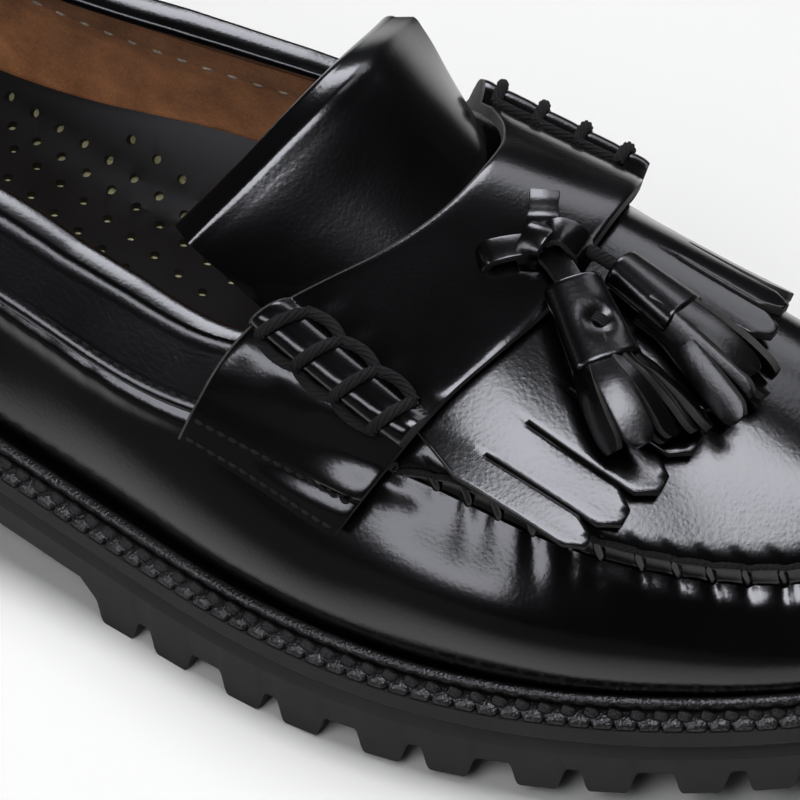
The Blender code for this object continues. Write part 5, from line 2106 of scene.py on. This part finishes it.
# Studio
@dataclass
class Studio:
    """Floor, soft lights and camera."""

    azimuth: float = 31.0
    elevation: float = 43.0
    distance: float = 0.9
    focal_pixels: float = 5400.0
    picture: int = 800
    aim_pixels: Pair = (140.0, 64.0)
    sensor: float = 36.0
    # name, direction from the shoe, direction of its length, distance, length, width, brightness
    boxes: tuple[tuple[str, tuple, tuple, float, float, float, float], ...] = (
        ("top_box", (0.28, -0.24, 0.93), (0.2, 1.0, 0.0), 1.0, 0.5, 0.34, 13.0),
        ("front_box", (-0.27, -0.86, 0.48), (1.0, -0.3, 0.0), 1.1, 1.0, 0.28, 6.5),
        ("rear_box", (-0.02, 0.77, 0.62), (1.0, 0.1, 0.0), 1.1, 0.6, 0.36, 2.6),
        ("rear_left_box", (-0.43, 0.62, 0.65), (1.0, 0.6, 0.0), 1.1, 0.4, 0.42, 8.5),
        ("far_strip", (0.22, 0.48, 0.85), (0.0, 1.0, -0.3), 1.1, 0.42, 0.26, 2.4),
    )
    floor_lamps: tuple[tuple[str, tuple, tuple, float, float, float, float], ...] = (
        ("floor_lamp", (0.0, 0.08, 1.0), (1.0, 0.0, 0.0), 1.3, 0.8, 0.8, 2.1),
        ("side_lamp", (-0.05, -0.7, 0.72), (1.0, 0.0, 0.0), 1.3, 0.8, 0.6, 0.85),
    )
    box_tint: Triple = (0.95, 0.96, 1.05)
    lamp_spread: float = 80.0
    surround: float = 0.03
    surround_tint: Triple = (0.9, 0.94, 1.0)
    floor_half: float = 2.5

    def build(self) -> None:
        """Sets the floor, the lights, the surroundings and the camera."""
        self.build_floor()
        for row in self.boxes:
            box = self.build_light(*row)
            box.visible_diffuse = False
            box.data.color = self.box_tint
        for row in self.floor_lamps:
            lamp = self.build_light(*row)
            lamp.visible_glossy = False
            lamp.data.spread = math.radians(self.lamp_spread)
        world = bpy.data.worlds.new("studio")
        world.use_nodes = True
        world.node_tree.nodes["Background"].inputs["Color"].default_value = (*self.surround_tint, 1.0)
        world.node_tree.nodes["Background"].inputs["Strength"].default_value = self.surround
        bpy.context.scene.world = world
        bpy.context.scene.view_settings.view_transform = "Standard"
        self.build_camera()

    def build_floor(self) -> None:
        """A plain pale floor."""
        bm = bmesh.new()
        bmesh.ops.create_grid(bm, x_segments=8, y_segments=8, size=self.floor_half)
        mesh = bpy.data.meshes.new("floor")
        bm.to_mesh(mesh)
        bm.free()
        mesh.materials.append(FLOOR_PAPER.material())
        floor = bpy.data.objects.new("floor", mesh)
        bpy.context.scene.collection.objects.link(floor)

    def build_light(
        self, name: str, toward: tuple, along: tuple, distance: float, length: float, width: float, glow: float
    ) -> Piece:
        """A soft box that faces the shoe.

        Args:
            name: Its name.
            toward: Direction from the shoe to it.
            along: Direction of its length.
            distance: How far away it hangs, in metres.
            length: Its longer side.
            width: Its shorter side.
            glow: Brightness of its face.

        Returns:
            The lamp.
        """
        lamp = bpy.data.lights.new(name, "AREA")
        lamp.shape, lamp.size, lamp.size_y = "RECTANGLE", length, width
        lamp.energy = glow * math.pi * length * width
        back = Vector(toward).normalized()
        level = (Vector(along) - back * back.dot(Vector(along))).normalized()
        basis = Matrix((level, back.cross(level), back)).transposed()
        obj = bpy.data.objects.new(name, lamp)
        obj.matrix_world = Matrix.Translation(back * distance) @ basis.to_4x4()
        bpy.context.scene.collection.objects.link(obj)
        return obj

    def build_camera(self) -> None:
        """A long lens at the picture's angle, aimed at the middle of its frame."""
        turn, tilt = math.radians(self.azimuth), math.radians(self.elevation)
        back = Vector((math.sin(turn) * math.cos(tilt), -math.cos(turn) * math.cos(tilt), math.sin(tilt)))
        right = Vector((math.cos(turn), math.sin(turn), 0.0))
        above = back.cross(right)
        across, up = (pixels / self.focal_pixels for pixels in self.aim_pixels)
        depth = (back - right * across - above * up).normalized()
        level = (right - depth * right.dot(depth)).normalized()
        basis = Matrix((level, depth.cross(level), depth)).transposed()
        lens = bpy.data.cameras.new("camera")
        lens.lens, lens.sensor_width = self.focal_pixels / self.picture * self.sensor, self.sensor
        camera = bpy.data.objects.new("camera", lens)
        camera.matrix_world = Matrix.Translation(back * self.distance) @ basis.to_4x4()
        bpy.context.scene.collection.objects.link(camera)
        bpy.context.scene.camera = camera


def main() -> None:
    """Builds the shoe from the floor up and sets it in the studio."""
    logging.basicConfig(level=logging.INFO, format="%(message)s")
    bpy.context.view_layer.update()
    Studio().build()
    Sole().build()
    Welt().build()
    upper = Upper().build()
    Insole().build()
    tongue = Tongue().build()
    fringe = Fringe().build(upper[:3])
    strap = SaddleStrap().build([*upper[:3], *tongue, *fringe])
    trim = [strap[0], *fringe, upper[2]]
    for tassel in (OUTER_TASSEL, INNER_TASSEL):
        tassel.build(trim)
    Tie().build(trim, OUTER_TASSEL, INNER_TASSEL)


if __name__ == "__main__":
    main()
